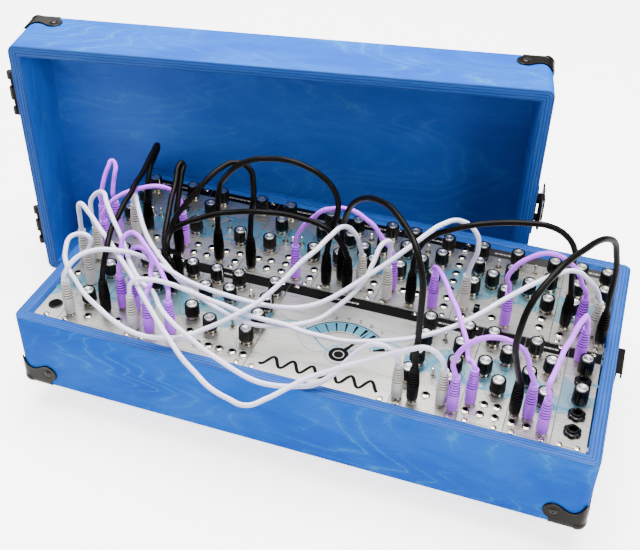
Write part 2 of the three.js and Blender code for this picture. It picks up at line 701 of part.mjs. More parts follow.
function addControls(spec, left, front) {
  const place = ([across, along]) => (
    [left + across * spec.units * unitPitch, front + along * panelLength, panelTop]);
  (spec.turnedShares || []).forEach((share, i) => {
    addPiece(synthesizer, `output_knob_${i + 1}`, turningKnob(), finishes.knob, place(share));
  });
  (spec.buttonShares || []).forEach((share) => {
    addPiece(synthesizer, 'trigger_button', triggerButton(), finishes.button, place(share));
  });
  (spec.leverShares || []).forEach((share) => {
    addPiece(synthesizer, 'toggle_lever', toggleLever(), finishes.bare, place(share));
  });
}

function addRow(rowName, specs, front) {
  let left = (-rowUnits * unitPitch) / 2;
  specs.forEach((spec, i) => {
    const name = `${rowName}_module_${String.fromCharCode('a'.charCodeAt(0) + i)}`;
    const corner = [left + panelSideGap / 2, front, panelTop];
    addPiece(synthesizer, name, moduleBody(spec), finishes.panel, corner);
    addControls(spec, left, front);
    left += spec.units * unitPitch;
  });
}

// Patch cords: a cord with a plug's boot at each end, standing on the nut of its jack

function boot(x, y) {
  const low = panelTop + nutHeight + bootGap;
  const shoulder = low + bootHeight * bootShoulderShare;
  const high = low + bootHeight;
  return turned([
    [0, low], [bootRadius, low], [bootRadius, shoulder], [bootTopRadius, high], [0, high],
  ], cordSides).translate(x, y, 0);
}

function cord(points, radius) {
  const path = new THREE.CatmullRomCurve3(points.map((point) => new THREE.Vector3(...point)));
  const corners = [];
  for (let i = 0; i < cordSides; i += 1) {
    const angle = (2 * Math.PI * i) / cordSides;
    corners.push([radius * Math.cos(angle), radius * Math.sin(angle)]);
  }
  const steps = Math.round(path.getLength() / cordStep);
  const tube = new THREE.ExtrudeGeometry(outlineOf(corners), { steps, extrudePath: path });
  const ends = [points[0], points[points.length - 1]];
  return join(solid(tube), ends.map(([x, y]) => boot(x, y)));
}

// Ball corner: a ball over the corner, and on each of the three faces a sheet with a screwed lobe.
// The local origin is the wood's sharp corner, out holds the sign of the outward way along x, y
// and z, floorAxis is the axis across the wood's floor, and skin is the wood grown by the sheet.

function ballCorner(out, floorAxis, wood, skin) {
  const axes = ['x', 'y', 'z'];
  const [x, y, z] = out.map((sign) => -sign * ballInset);
  const ball = solid(new THREE.SphereGeometry(ballRadius, ballSides, ballRings)
    .rotateX(Math.PI / 2).translate(x, y, z));
  const outside = fitGap + sheet;
  const between = (i, from, to) => (out[i] > 0 ? [from, to] : [-to, -from]);
  const faces = axes.map((face, i) => {
    const onFloor = face === floorAxis;
    const inward = (axis, along, rise) => (axis === floorAxis ? rise : along);
    const slab = (along, rise) => block(...axes.map((axis, k) => {
      return between(k, axis === face ? -ballInset : -inward(axis, along, rise), outside);
    }));
    const inset = (axis) => (onFloor ? floorLobeInset : inward(axis, lobeAlong, lobeRise));
    const place = axes.map((axis, k) => -out[k] * inset(axis)).filter((_, k) => k !== i);
    const lobe = rod(face, place, between(i, -ballInset, outside), lobeRadius, lobeSides);
    const webs = onFloor ? [slab(floorLobeInset)] : [slab(lobeAlong, webRise), slab(hornWidth, hornReach)];
    const screwSpan = between(i, outside - embed, outside + lobeScrewHeight);
    return { sheets: [lobe, webs], screw: rod(face, place, screwSpan, lobeScrewRadius, nutSides) };
  });
  const sheets = join(faces.map((face) => face.sheets)).intersect(skin);
  return join(sheets, ball, faces.map((face) => face.screw)).subtract(wood);
}

// Lid, in its own frame: x along it, y from its rim to its back, z up from its lower wall

function lidWood(grown) {
  const outline = roundedOutline([-caseLength / 2 - grown, caseLength / 2 + grown],
    [-grown, caseDepth + grown], edgeRadius + grown);
  return swept(outline, 'y', [0, lidHeight + grown]);
}

function lidShell() {
  const inside = block(spread(innerLength), [-overrun, lidHeight - lidBack],
    [wall, caseDepth - wall]);
  return lidWood(0).subtract(inside);
}

// Hinge bracket on the lid's left wall, with its origin on the wall's face at the rim
function hingeBracket() {
  const plateFace = -fitGap - sheet;
  const knuckleOut = plateFace - knuckleRadius + embed;
  const rise = spread(hingeRise);
  const plate = block([plateFace, -fitGap], [hingeRimInset, hingeRimInset + hingePlateWidth], rise);
  const place = [knuckleOut, knuckleRimInset];
  return join(
    plate,
    rod('z', place, rise, hingeRodRadius, nutSides),
    rod('z', place, [rise[0], rise[0] + knuckleLength], knuckleRadius, cordSides),
    rod('z', place, [rise[1] - knuckleLength, rise[1]], knuckleRadius, cordSides),
    rod('z', place, spread(middleKnuckleLength), knuckleRadius, cordSides),
  );
}

// Hook plate on the case's left wall, with its origin on the wall's face at the rim
function hookPlate() {
  const top = -hookPlateDrop;
  const low = top - hookPlateHeight;
  const face = -fitGap - sheet;
  const plate = block([face, -fitGap], spread(hookPlateLength), [low, top]);
  const out = face - hookMouth - hookThickness;
  const hooks = spread(hookPitch).map((middle) => swept(outlineOf([
    [face + embed, low], [out, low], [out, low + hookThickness + hookLip],
    [out + hookThickness, low + hookThickness + hookLip], [out + hookThickness, low + hookThickness],
    [face + embed, low + hookThickness],
  ].reverse()), 'y', [middle - hookWidth / 2, middle + hookWidth / 2]));
  return join(plate, hooks);
}

// Keeper on the case's right wall, with its origin on the wall's face at the rim
function keeper() {
  const top = -keeperDrop;
  const low = top - keeperHeight;
  const face = fitGap + sheet;
  const plate = block([fitGap, face], spread(keeperLength), [low, top]);
  const out = face + keeperMouth + sheet;
  const lip = swept(outlineOf([
    [face - embed, top], [out, top], [out, top - sheet - keeperLip], [out - sheet, top - sheet - keeperLip],
    [out - sheet, top - sheet], [face - embed, top - sheet],
  ].reverse()), 'y', spread(keeperLength));
  return join(plate, lip);
}

// Draw latch on the lid's right wall, with its origin on the wall's face, at the rim and at the
// latch's middle height

function latchPlate() {
  const face = fitGap + sheet;
  const plate = block([fitGap, face], [latchRimInset, latchRimInset + latchPlateWidth],
    spread(latchPlateRise));
  const ears = [-1, 1].map((side) => {
    const rise = [side * earHalfGap, side * (earHalfGap + earThickness)].sort((a, b) => a - b);
    const alongs = spread(earLength).map((y) => y + pivotRimInset);
    return block([face - embed, pivotOut + pinRadius], alongs, rise);
  });
  const pinHalf = leverFlangeHalfGap + leverFlange;
  const pin = rod('z', [pivotOut, pivotRimInset], [-pinHalf, pinHalf], pinRadius, roundSides);
  return join(plate, ears, pin);
}

function latchLever() {
  const end = pivotRimInset + leverLength;
  const neckEnd = pivotRimInset + leverNeckLength;
  const start = pivotRimInset - pinRadius;
  const sheetOut = [leverOut, leverOut + leverSheet];
  const neckHalf = leverFlangeHalfGap + leverFlange;
  const neck = block(sheetOut, [start, neckEnd + embed], [-neckHalf, neckHalf]);
  const wide = block(sheetOut, [neckEnd, end], spread(leverWideRise));
  const boreRadius = pinRadius + pinClearance;
  const flangeLow = pivotOut - boreRadius - leverFlange;
  const loopBoreRadius = loopWireRadius + pinClearance;
  const flangeEnd = pivotRimInset + loopPivotPast + loopBoreRadius + leverFlange;
  const flanges = [-1, 1].map((side) => {
    const rise = [side * leverFlangeHalfGap, side * neckHalf].sort((a, b) => a - b);
    return [
      rod('z', [pivotOut, pivotRimInset], rise, boreRadius + leverFlange, roundSides),
      block([flangeLow, leverOut + embed], [pivotRimInset, flangeEnd], rise),
    ];
  });
  const through = [-neckHalf - overrun, neckHalf + overrun];
  const pinBore = rod('z', [pivotOut, pivotRimInset], through, boreRadius, roundSides);
  const loopBore = rod('z', [pivotOut, pivotRimInset + loopPivotPast], through, loopBoreRadius, roundSides);
  return join(neck, wide, flanges).subtract(pinBore).subtract(loopBore);
}

// The round bend of the loop's wire
function wireBend(x, y, z) {
  return solid(new THREE.SphereGeometry(loopWireRadius, cordSides, cordSides / 2)
    .rotateX(Math.PI / 2).translate(x, y, z));
}

function latchLoop() {
  const pivot = pivotRimInset + loopPivotPast;
  const bar = pivot - loopReach;
  const arms = [-1, 1].flatMap((side) => {
    const place = [pivotOut, side * loopArmHalfGap];
    const inner = side * leverFlangeHalfGap;
    const rise = [inner, side * loopArmHalfGap].sort((a, b) => a - b);
    return [
      rod('y', place, [bar, pivot], loopWireRadius, cordSides),
      rod('z', [pivotOut, pivot], rise, loopWireRadius, cordSides),
      wireBend(pivotOut, pivot, side * loopArmHalfGap),
      wireBend(pivotOut, bar, side * loopArmHalfGap),
    ];
  });
  const cross = rod('z', [pivotOut, bar], [-loopArmHalfGap, loopArmHalfGap], loopWireRadius, cordSides);
  return join(arms, cross);
}

function addCase() {
  addPiece(synthesizer, 'case_box', caseBox(), finishes.plywood);
  for (const [rowName, y] of Object.entries({ front: frontFootY, rear: rearFootY })) {
    addPiece(synthesizer, `${rowName}_left_foot`, foot(), finishes.rubber, [-footX, y, 0]);
    addPiece(synthesizer, `${rowName}_right_foot`, foot(), finishes.rubber, [footX, y, 0]);
  }
  const [wood, skin] = [ballGap, fitGap + sheet].map(trayWood);
  for (const [rowName, back] of [['front', -1], ['rear', 1]]) {
    for (const [sideName, right] of [['left', -1], ['right', 1]]) {
      const corner = [(right * caseLength) / 2, (back * caseDepth) / 2, caseBottom];
      const [inner, outer] = [wood, skin].map((body) => body.translate(...corner.map((at) => -at)));
      const body = ballCorner([right, back, -1], 'z', inner, outer);
      addPiece(synthesizer, `${rowName}_${sideName}_ball_corner`, body, finishes.blackSteel, corner);
    }
  }
}

function addInside() {
  const endRailMiddle = (innerDepth - railWidth) / 2;
  const screwLine = innerDepth / 2 - rackEndGap - screwEndInset;
  const endSlot = screwLine - endRailMiddle;
  const middleSlot = rowGap / 2 + screwEndInset;
  const middleWidth = 2 * railWidth;
  const rails = {
    front_rail: [railWidth, [-endSlot], -endRailMiddle],
    middle_rail: [middleWidth, [-middleSlot, middleSlot], 0],
    rear_rail: [railWidth, [endSlot], endRailMiddle],
  };
  for (const [name, [width, slots, y]] of Object.entries(rails)) {
    addPiece(synthesizer, name, rail(width, slots), finishes.bare, [0, y, railTop]);
  }
  addPiece(synthesizer, 'power_bus_board', powerBoard(), finishes.board, [0, 0, floorTop]);
}

function addCaseHardware() {
  for (const [rowName, back] of [['front', -1], ['rear', 1]]) {
    const place = [-caseLength / 2, (back * hingePitch) / 2, caseRim];
    addPiece(synthesizer, `${rowName}_hook_plate`, hookPlate(), finishes.blackSteel, place);
  }
  addPiece(synthesizer, 'latch_keeper', keeper(), finishes.blackSteel, [caseLength / 2, 0, caseRim]);
}

function addLid() {
  addPiece(lid, 'lid_shell', lidShell(), finishes.plywood);
  const pad = block(spread(padLength), [padRimInset, padRimInset + padWidth], [-lidLift, -fitGap]);
  addPiece(lid, 'lid_rest_pad', pad, finishes.rubber);
  const [wood, skin] = [ballGap, fitGap + sheet].map(lidWood);
  for (const [rowName, up] of [['lower', -1], ['upper', 1]]) {
    for (const [sideName, right] of [['left', -1], ['right', 1]]) {
      const corner = [(right * caseLength) / 2, lidHeight, up > 0 ? caseDepth : 0];
      const [inner, outer] = [wood, skin].map((body) => body.translate(...corner.map((at) => -at)));
      const body = ballCorner([right, 1, up], 'y', inner, outer);
      addPiece(lid, `lid_${rowName}_${sideName}_ball_corner`, body, finishes.blackSteel, corner);
    }
    const hingeMiddle = [-caseLength / 2, 0, latchMiddle + (up * hingePitch) / 2];
    addPiece(lid, `${rowName}_hinge_bracket`, hingeBracket(), finishes.blackSteel, hingeMiddle);
  }
  const latchPlace = [caseLength / 2, 0, latchMiddle];
  addPiece(lid, 'latch_plate', latchPlate(), finishes.blackSteel, latchPlace);
  addPiece(lid, 'latch_lever', latchLever(), finishes.blackSteel, latchPlace);
  addPiece(lid, 'latch_loop', latchLoop(), finishes.blackSteel, latchPlace);
  lid.position.set(lidX, lidY, lidLift);
  lid.rotation.z = lidTurn;
  synthesizer.add(lid);
}

addCase();
addInside();
addRow('rear', rearModules, rowGap / 2);
addRow('front', frontModules, -rowGap / 2 - panelLength);
addCaseHardware();
addLid();
for (const [name, points] of Object.entries(cords)) {
  const colour = name.split('_')[0];
  const radius = colour === 'black' ? blackCordRadius : cordRadius;
  addPiece(synthesizer, name, cord(points, radius), finishes[`${colour}Cord`]);
}

export default assembly;
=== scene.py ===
"""Looks of a modular synthesizer: a case of blue-stained plywood full of patched modules, with
its lid standing behind it. Sizes are in millimetres from the middle of the case, and MM turns
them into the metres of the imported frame."""

from __future__ import annotations

import json
import logging
import math
import sys
from dataclasses import dataclass, field
from enum import Enum
from typing import Callable, Iterable, Sequence

import bpy
from mathutils import Matrix, Vector

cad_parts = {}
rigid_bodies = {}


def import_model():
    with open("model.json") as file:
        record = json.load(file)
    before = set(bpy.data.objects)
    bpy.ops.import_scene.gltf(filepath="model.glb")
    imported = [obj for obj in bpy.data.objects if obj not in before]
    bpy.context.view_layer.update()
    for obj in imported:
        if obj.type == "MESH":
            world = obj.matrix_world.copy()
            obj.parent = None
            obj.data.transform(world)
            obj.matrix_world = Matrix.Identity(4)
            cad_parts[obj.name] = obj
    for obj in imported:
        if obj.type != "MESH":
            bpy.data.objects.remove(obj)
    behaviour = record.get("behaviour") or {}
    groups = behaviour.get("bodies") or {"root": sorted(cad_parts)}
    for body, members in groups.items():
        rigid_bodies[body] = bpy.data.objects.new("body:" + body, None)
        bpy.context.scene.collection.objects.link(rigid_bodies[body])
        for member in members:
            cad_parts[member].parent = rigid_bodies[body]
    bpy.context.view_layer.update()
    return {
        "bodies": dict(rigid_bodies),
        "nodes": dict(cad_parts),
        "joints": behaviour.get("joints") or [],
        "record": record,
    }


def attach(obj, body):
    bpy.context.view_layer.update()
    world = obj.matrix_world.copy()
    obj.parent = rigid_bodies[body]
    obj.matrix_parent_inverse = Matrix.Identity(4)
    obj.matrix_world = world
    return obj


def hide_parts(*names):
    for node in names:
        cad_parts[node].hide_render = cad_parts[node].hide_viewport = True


LOG = logging.getLogger("modular_synthesizer")
MM = 0.001
CASE_MIDDLE = Vector((54.0, -43.0, 0.0))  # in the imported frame
Point = Sequence[float]
Profile = Sequence[tuple[float, float]]  # radius and height of rings, from low to high


class Body(Enum):
    """The CAD bodies that pieces ride on."""

    CASE = "case"
    LID = "lid"
    OUTPUT_KNOB_1 = "output_knob_1"
    OUTPUT_KNOB_2 = "output_knob_2"
    TRIGGER_BUTTON = "trigger_button"
    TOGGLE_LEVER = "toggle_lever"


class Motif(Enum):
    """The pale prints that a panel can have."""

    WAVES = "waves"
    STEPS = "steps"


# Sizes shared by several pieces

CASE_LENGTH = 554.992
CASE_DEPTH = 288.0
CASE_BOTTOM = 32.0
CASE_RIM = 116.0
FLOOR_TOP = 38.0
WALL = 12.0
EDGE_RADIUS = 8.0
PANEL_TOP = 112.0
PANEL_LENGTH = 128.5
PANEL_THICKNESS = 2.0
PANEL_SIDE_GAP = 0.3
UNIT_PITCH = 5.08
ROW_UNITS = 104
ROW_GAP = 1.5
LID_HEIGHT = 78.0
LID_BACK = 4.0
LID_LIFT = 3.3
LID_ALONG = 163.8
LID_TURN = math.radians(10.43)
LID_CORNER_DEPTH = 70.3


def lid_frame() -> Matrix:
    """Place of the lid's own frame: x along it, y from its rim to its back, z up.

    Returns:
        The matrix from the lid's frame to the case's, in millimetres.
    """
    cos, sin = math.cos(LID_TURN), math.sin(LID_TURN)
    x = -CASE_LENGTH / 2 + LID_ALONG * cos + LID_CORNER_DEPTH * sin
    y = CASE_DEPTH / 2 + LID_ALONG * sin - LID_CORNER_DEPTH * cos
    return Matrix.Translation((x, y, LID_LIFT)) @ Matrix.Rotation(LID_TURN, 4, "Z")


def log(piece: str) -> None:
    """Reports a piece that is made."""
    LOG.info("made %s", piece)


# Mesh code


@dataclass
class Shape:
    """Points and faces of one piece, in millimetres, with a finish and a map for each face.

    Attributes:
        points: The corners.
        faces: The faces, as lists of corner numbers.
        slots: The finish number of each face.
        maps: The map coordinates of each face's corners.
        place: The matrix that new points are put through.
    """

    points: list[Vector] = field(default_factory=list)
    faces: list[list[int]] = field(default_factory=list)
    slots: list[int] = field(default_factory=list)
    maps: list[list[tuple[float, float]]] = field(default_factory=list)
    place: Matrix = field(default_factory=lambda: Matrix.Identity(4))

    def add(self, points: Iterable[Point], faces: Iterable[Sequence[int]], slot: int = 0) -> None:
        """Adds faces over new points, mapped from above.

        Args:
            points: The new corners.
            faces: The faces, numbered from the first new corner.
            slot: The finish number of these faces.
        """
        start = len(self.points)
        fresh = [Vector(point) for point in points]
        self.points.extend(self.place @ point for point in fresh)
        for face in faces:
            self.faces.append([start + i for i in face])
            self.slots.append(slot)
            self.maps.append([(fresh[i].x, fresh[i].y) for i in face])

    def loft(self, rings: Sequence[Sequence[Point]], slots: Sequence[int] | int = 0,
             maps: Sequence[Sequence[tuple[float, float]]] | None = None) -> None:
        """Joins closed rings of equally many points, and closes both ends.

        Args:
            rings: The rings, the outward faces following if each ring runs anticlockwise.
            slots: A finish number, or one for each band between two rings.
            maps: Map coordinates for each ring, with one more than its points for the seam.
        """
        size, bands = len(rings[0]), len(rings) - 1
        numbers = [slots] * bands if isinstance(slots, int) else list(slots)
        above = [[(x, y) for x, y, _ in (*ring, ring[0])] for ring in rings]
        maps = maps or above
        start = len(self.points)
        self.points.extend(self.place @ Vector(point) for ring in rings for point in ring)
        for band, slot in enumerate(numbers):
            low, high = start + band * size, start + (band + 1) * size
            for i in range(size):
                j = (i + 1) % size
                self.faces.append([low + i, low + j, high + j, high + i])
                self.slots.append(slot)
                self.maps.append([maps[band][i], maps[band][i + 1], maps[band + 1][i + 1],
                                  maps[band + 1][i]])
        for ring, slot, order in ((0, numbers[0], range(size - 1, -1, -1)),
                                  (bands, numbers[-1], range(size))):
            self.faces.append([start + ring * size + k for k in order])
            self.slots.append(slot)
            self.maps.append([above[ring][k] for k in order])

    def lathe(self, profile: Sequence[tuple[float, float]], at: Point = (0, 0, 0), sides: int = 24,
              slots: Sequence[int] | int = 0, flutes: tuple[int, float, int, int] | None = None,
              turn: float = 0.0) -> None:
        """Turns a profile about Z.

        Args:
            profile: Radius and height of each ring, from the bottom to the top.
            at: Where the axis stands.
            sides: Points in each ring.
            slots: A finish number, or one for each band.
            flutes: Count and depth of flutes, and the first and last ring that have them.
            turn: Angle of the first point.
        """
        rings, maps = [], []
        for number, (radius, height) in enumerate(profile):
            ring = []
            for i in range(sides):
                angle = turn + 2 * math.pi * i / sides
                size = radius
                if flutes and flutes[2] <= number <= flutes[3]:
                    wave = math.cos(flutes[0] * angle)
                    size -= flutes[1] * max(0.0, wave) ** 0.5
                ring.append((at[0] + size * math.cos(angle), at[1] + size * math.sin(angle),
                             at[2] + height))
            rings.append(ring)
            maps.append([(i / sides, radius) for i in range(sides + 1)])
        self.loft(rings, slots, maps)

    def block(self, xs: Point, ys: Point, zs: Point, slot: int = 0, chamfer: float = 0.0) -> None:
        """Adds a box with its edges taken off.

        Args:
            xs: Left and right.
            ys: Front and back.
            zs: Low and high.
            slot: The finish number.
            chamfer: How far its edges are taken off.
        """
        def ring(inset: float, z: float) -> list[Point]:
            """Gives the ring at an inset from the sides and a height."""
            return rounded((xs[0] + inset, xs[1] - inset), (ys[0] + inset, ys[1] - inset),
                           max(chamfer - inset, 0.0) + 0.01, 1, z)
        low, high = zs
        if chamfer <= 0:
            self.loft([ring(0, low), ring(0, high)], slot)
        else:
            self.loft([ring(chamfer, low), ring(0, low + chamfer), ring(0, high - chamfer),
                       ring(chamfer, high)], slot)

    def ribbon(self, path: Sequence[Point], width: float, height: float, slot: int = 0,
               closed: bool = False) -> None:
        """Adds a flat line of ink.

        Args:
            path: Points that it follows, seen from above.
            width: Its width.
            height: Its height above the origin.
            slot: The finish number.
            closed: Whether its last point meets its first.
        """
        count = len(path)
        sides = []
        for i, here in enumerate(path):
            before = path[(i - 1) % count] if closed or i else here
            after = path[(i + 1) % count] if closed or i < count - 1 else here
            way = Vector((after[0] - before[0], after[1] - before[1])).normalized()
            across = Vector((-way.y, way.x)) * width / 2
            sides.append(((here[0] + across.x, here[1] + across.y, height),
                          (here[0] - across.x, here[1] - across.y, height)))
        points = [point for pair in sides for point in pair]
        last = count if closed else count - 1
        faces = [(2 * i + 1, 2 * ((i + 1) % count) + 1, 2 * ((i + 1) % count), 2 * i)
                 for i in range(last)]
        self.add(points, faces, slot)

    def arc(self, centre: Point, radius: float, width: float, height: float, slot: int = 0,
            angles: tuple[float, float] = (0.0, 360.0), sides: int = 40) -> None:
        """Adds a flat arc of ink.

        Args:
            centre: Its centre.
            radius: Radius of its middle line.
            width: Its width.
            height: Its height above the origin.
            slot: The finish number.
            angles: First and last angle, in degrees.
            sides: Straight steps that make it up.
        """
        first, last = (math.radians(angle) for angle in angles)
        whole = abs(last - first) > 2 * math.pi - 0.001
        steps = sides if whole else sides + 1
        angles = [first + (last - first) * i / sides for i in range(steps)]
        path = [(centre[0] + radius * math.cos(angle), centre[1] + radius * math.sin(angle))
                for angle in angles]
        self.ribbon(path, width, height, slot, whole)

    def patch(self, outline: Sequence[Point], height: float, slot: int = 0) -> None:
        """Adds a flat filled patch of ink, its outline anticlockwise from above."""
        self.add([(x, y, height) for x, y, *_ in outline], [range(len(outline))], slot)

    def bar(self, middle: Point, length: float, width: float, height: float, slot: int = 0) -> None:
        """Adds a flat bar of ink along X.

        Args:
            middle: Its middle.
            length: Its length.
            width: Its width.
            height: Its height above the origin.
            slot: The finish number.
        """
        x, y = middle[0], middle[1]
        self.patch([(x - length / 2, y - width / 2), (x + length / 2, y - width / 2),
                    (x + length / 2, y + width / 2), (x - length / 2, y + width / 2)], height, slot)

    def build(self, name: str, finishes: Sequence[bpy.types.Material], body: Body,
              slot: str | None = None, sharp: float = 35.0,
              replaces: Sequence[str] = ()) -> bpy.types.Object:
        """Makes the piece, rides it on its body and hides the CAD nodes that it stands for.

        Args:
            name: The piece's name.
            finishes: The materials, in the order of the finish numbers.
            body: The CAD body that it moves with.
            slot: The record's material slot; not used.
            sharp: Edges that turn more than this many degrees stay sharp.
            replaces: CAD nodes that it stands for.

        Returns:
            The object.
        """
        mesh = bpy.data.meshes.new(name)
        world = [(point + CASE_MIDDLE) * MM for point in self.points]
        mesh.from_pydata([tuple(point) for point in world], [], self.faces)
        for finish in finishes:
            mesh.materials.append(finish)
        mesh.polygons.foreach_set("material_index", self.slots)
        layer = mesh.uv_layers.new(name="map")
        flat = [value * MM for face in self.maps for pair in face for value in pair]
        layer.data.foreach_set("uv", flat)
        mesh.validate()
        mesh.shade_smooth()
        mesh.set_sharp_from_angle(angle=math.radians(sharp))
        piece = bpy.data.objects.new(name, mesh)
        bpy.context.scene.collection.objects.link(piece)
        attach(piece, body.value)
        if replaces:
            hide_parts(*replaces)
        log(name)
        return piece


def rounded(xs: Point, ys: Point, radius: float, steps: int, z: float) -> list[Point]:
    """A rectangle with round corners, anticlockwise from above.

    Args:
        xs: Left and right.
        ys: Front and back.
        radius: Radius of the corners.
        steps: Straight steps in each corner.
        z: Height.

    Returns:
        Its points.
    """
    middles = [(xs[1] - radius, ys[1] - radius), (xs[0] + radius, ys[1] - radius),
               (xs[0] + radius, ys[0] + radius), (xs[1] - radius, ys[0] + radius)]
    ring = []
    for number, (x, y) in enumerate(middles):
        for i in range(steps + 1):
            angle = math.pi / 2 * (number + i / steps)
            ring.append((x + radius * math.cos(angle), y + radius * math.sin(angle), z))
    return ring


# Finishes


@dataclass
class Graph:
    """A node tree under construction.

    Attributes:
        tree: The tree that nodes go into.
    """

    tree: bpy.types.NodeTree

    def node(self, kind: str, inputs: dict[str | int, object] | None = None,
             **settings: object) -> bpy.types.Node:
        """Adds a node.

        Args:
            kind: The node's type.
            inputs: Values, or output sockets to link, by input name or number.
            settings: Properties to set on it.

        Returns:
            The node.
        """
        made = self.tree.nodes.new(kind)
        for name, value in settings.items():
            setattr(made, name, value)
        self.feed(made, inputs or {})
        return made

    def feed(self, node: bpy.types.Node, inputs: dict[str | int, object]) -> None:
        """Links or sets a node's inputs.

        Args:
            node: The node.
            inputs: Values, or output sockets to link, by input name or number.
        """
        for key, value in inputs.items():
            if isinstance(value, bpy.types.NodeSocket):
                self.tree.links.new(value, node.inputs[key])
            else:
                node.inputs[key].default_value = value

    def math(self, operation: str, *values: object) -> bpy.types.NodeSocket:
        """Gives the result of an operation on values."""
        return self.node("ShaderNodeMath", dict(enumerate(values)), operation=operation).outputs[0]

    def mix(self, share: object, first: object, second: object) -> bpy.types.NodeSocket:
        """Gives the first colour with a share of the second."""
        made = self.node("ShaderNodeMix", {0: share, 6: first, 7: second}, data_type="RGBA")
        return made.outputs[2]

    def steps(self, value: object, low: float, high: float, to_low: float = 0.0,
              to_high: float = 1.0) -> bpy.types.NodeSocket:
        """Maps a range of values to another, smoothly.

        Args:
            value: The value.
            low: Start of its range.
            high: End of its range.
            to_low: Result at the start.
            to_high: Result at the end.

        Returns:
            The result.
        """
        made = self.node("ShaderNodeMapRange", {0: value, 1: low, 2: high, 3: to_low, 4: to_high},
                         interpolation_type="SMOOTHSTEP")
        return made.outputs[0]

    def noise(self, vector: object, scale: float, detail: float = 3.0, roughness: float = 0.5,
              distortion: float = 0.0) -> bpy.types.NodeSocket:
        """Gives a noise, from 0 to 1, read at a vector."""
        made = self.node("ShaderNodeTexNoise", {"Vector": vector, "Scale": scale, "Detail": detail,
                                                "Roughness": roughness, "Distortion": distortion})
        return made.outputs["Fac"]

    def stretched(self, vector: object, size: Point) -> bpy.types.NodeSocket:
        """Gives a vector scaled along its three directions."""
        made = self.node("ShaderNodeVectorMath", {0: vector, 1: tuple(size)}, operation="MULTIPLY")
        return made.outputs[0]

    def where(self) -> bpy.types.NodeSocket:
        """Gives the coordinates of the piece's own map."""
        return self.node("ShaderNodeUVMap", uv_map="map").outputs[0]


Masks = dict[str, bpy.types.NodeSocket]


def group(name: str, fill: Callable[[Graph, bpy.types.NodeSocket], Masks]) -> bpy.types.NodeTree:
    """Gives a shader node group of masks over a vector, made the first time it is asked for.

    Args:
        name: Its name.
        fill: Fills the tree, given the vector, and gives the masks by name.

    Returns:
        The group.
    """
    found = bpy.data.node_groups.get(name)
    if found:
        return found
    tree = bpy.data.node_groups.new(name, "ShaderNodeTree")
    tree.interface.new_socket("Vector", in_out="INPUT", socket_type="NodeSocketVector")
    graph = Graph(tree)
    masks = fill(graph, graph.node("NodeGroupInput").outputs["Vector"])
    for label in masks:
        tree.interface.new_socket(label, in_out="OUTPUT", socket_type="NodeSocketFloat")
    graph.node("NodeGroupOutput", masks)
    return tree


def wear(graph: Graph, vector: bpy.types.NodeSocket) -> Masks:
    """Makes broad clouds, fine grit and thin scratches, which every hard surface uses.

    Args:
        graph: The group's nodes.
        vector: Where it is read.

    Returns:
        Masks of the clouds, the grit and the scratches.
    """
    cloud = graph.noise(vector, 18.0, 4.0, 0.6)
    grit = graph.noise(vector, 1400.0, 2.0, 0.6)
    lines = graph.noise(graph.stretched(vector, (60.0, 1500.0, 60.0)), 1.0, 2.0, 0.5, 0.4)
    return {"Cloud": graph.steps(cloud, 0.3, 0.7), "Grit": grit,
            "Scratches": graph.steps(lines, 0.68, 0.74)}


def grain(graph: Graph, vector: bpy.types.NodeSocket) -> Masks:
    """Makes veneer that runs along the vector's first direction.

    Args:
        graph: The group's nodes.
        vector: Where it is read.

    Returns:
        Masks of its figure lines, fibres, flecks and stain.
    """
    def spread(where: object, across: Point, *settings: float) -> bpy.types.NodeSocket:
        """Gives a noise of two scales."""
        return graph.noise(graph.stretched(where, (*across, 1.0)), 1.0, *settings)
    shift = graph.math("MULTIPLY", spread(vector, (6.0, 14.0), 2.0), 0.03)
    shift = graph.node("ShaderNodeCombineXYZ", {"Y": shift}).outputs[0]
    bent = graph.node("ShaderNodeVectorMath", {0: vector, 1: shift}, operation="ADD").outputs[0]
    fibres = spread(bent, (60.0, 950.0), 4.0, 0.65)
    flecks = spread(bent, (150.0, 900.0), 2.0)
    stain = spread(vector, (8.0, 20.0), 5.0, 0.62, 0.8)
    along = graph.node("ShaderNodeSeparateXYZ", {0: vector}).outputs[0]
    arch = spread(vector, (3.2, 11.0), 2.0, 0.5, 0.6)
    ragged = spread(vector, (140.0, 220.0), 3.0, 0.6)
    figure = graph.math("ADD", graph.math("MULTIPLY", along, 1.7), arch)
    figure = graph.math("ADD", figure, graph.math("MULTIPLY", ragged, 0.035))
    saw = graph.math("FRACT", graph.math("MULTIPLY", figure, 15.0))
    near = graph.math("ABSOLUTE", graph.math("SUBTRACT", saw, 0.5))
    line = graph.math("ADD", graph.steps(near, 0.0, 0.07, 1.0, 0.0),
                      graph.steps(near, 0.0, 0.35, 0.4, 0.0))
    patchy = spread(vector, (7.0, 16.0), 2.0)
    line = graph.math("MULTIPLY", line, graph.steps(patchy, 0.4, 0.62))
    line = graph.math("MULTIPLY", line, graph.steps(fibres, 0.2, 0.62))
    return {"Figure": line, "Fibres": graph.steps(fibres, 0.3, 0.7),
            "Flecks": graph.steps(flecks, 0.62, 0.78), "Stain": graph.steps(stain, 0.3, 0.72)}


Colour = tuple[float, float, float, float]


def colour(code: str) -> Colour:
    """Turns a screen colour into a linear one.

    Args:
        code: Six hexadecimal digits.

    Returns:
        Red, green, blue and 1.
    """
    parts = [int(code[i:i + 2], 16) / 255 for i in (0, 2, 4)]
    red, green, blue = (part / 12.92 if part <= 0.04045 else ((part + 0.055) / 1.055) ** 2.4
                        for part in parts)
    return red, green, blue, 1.0


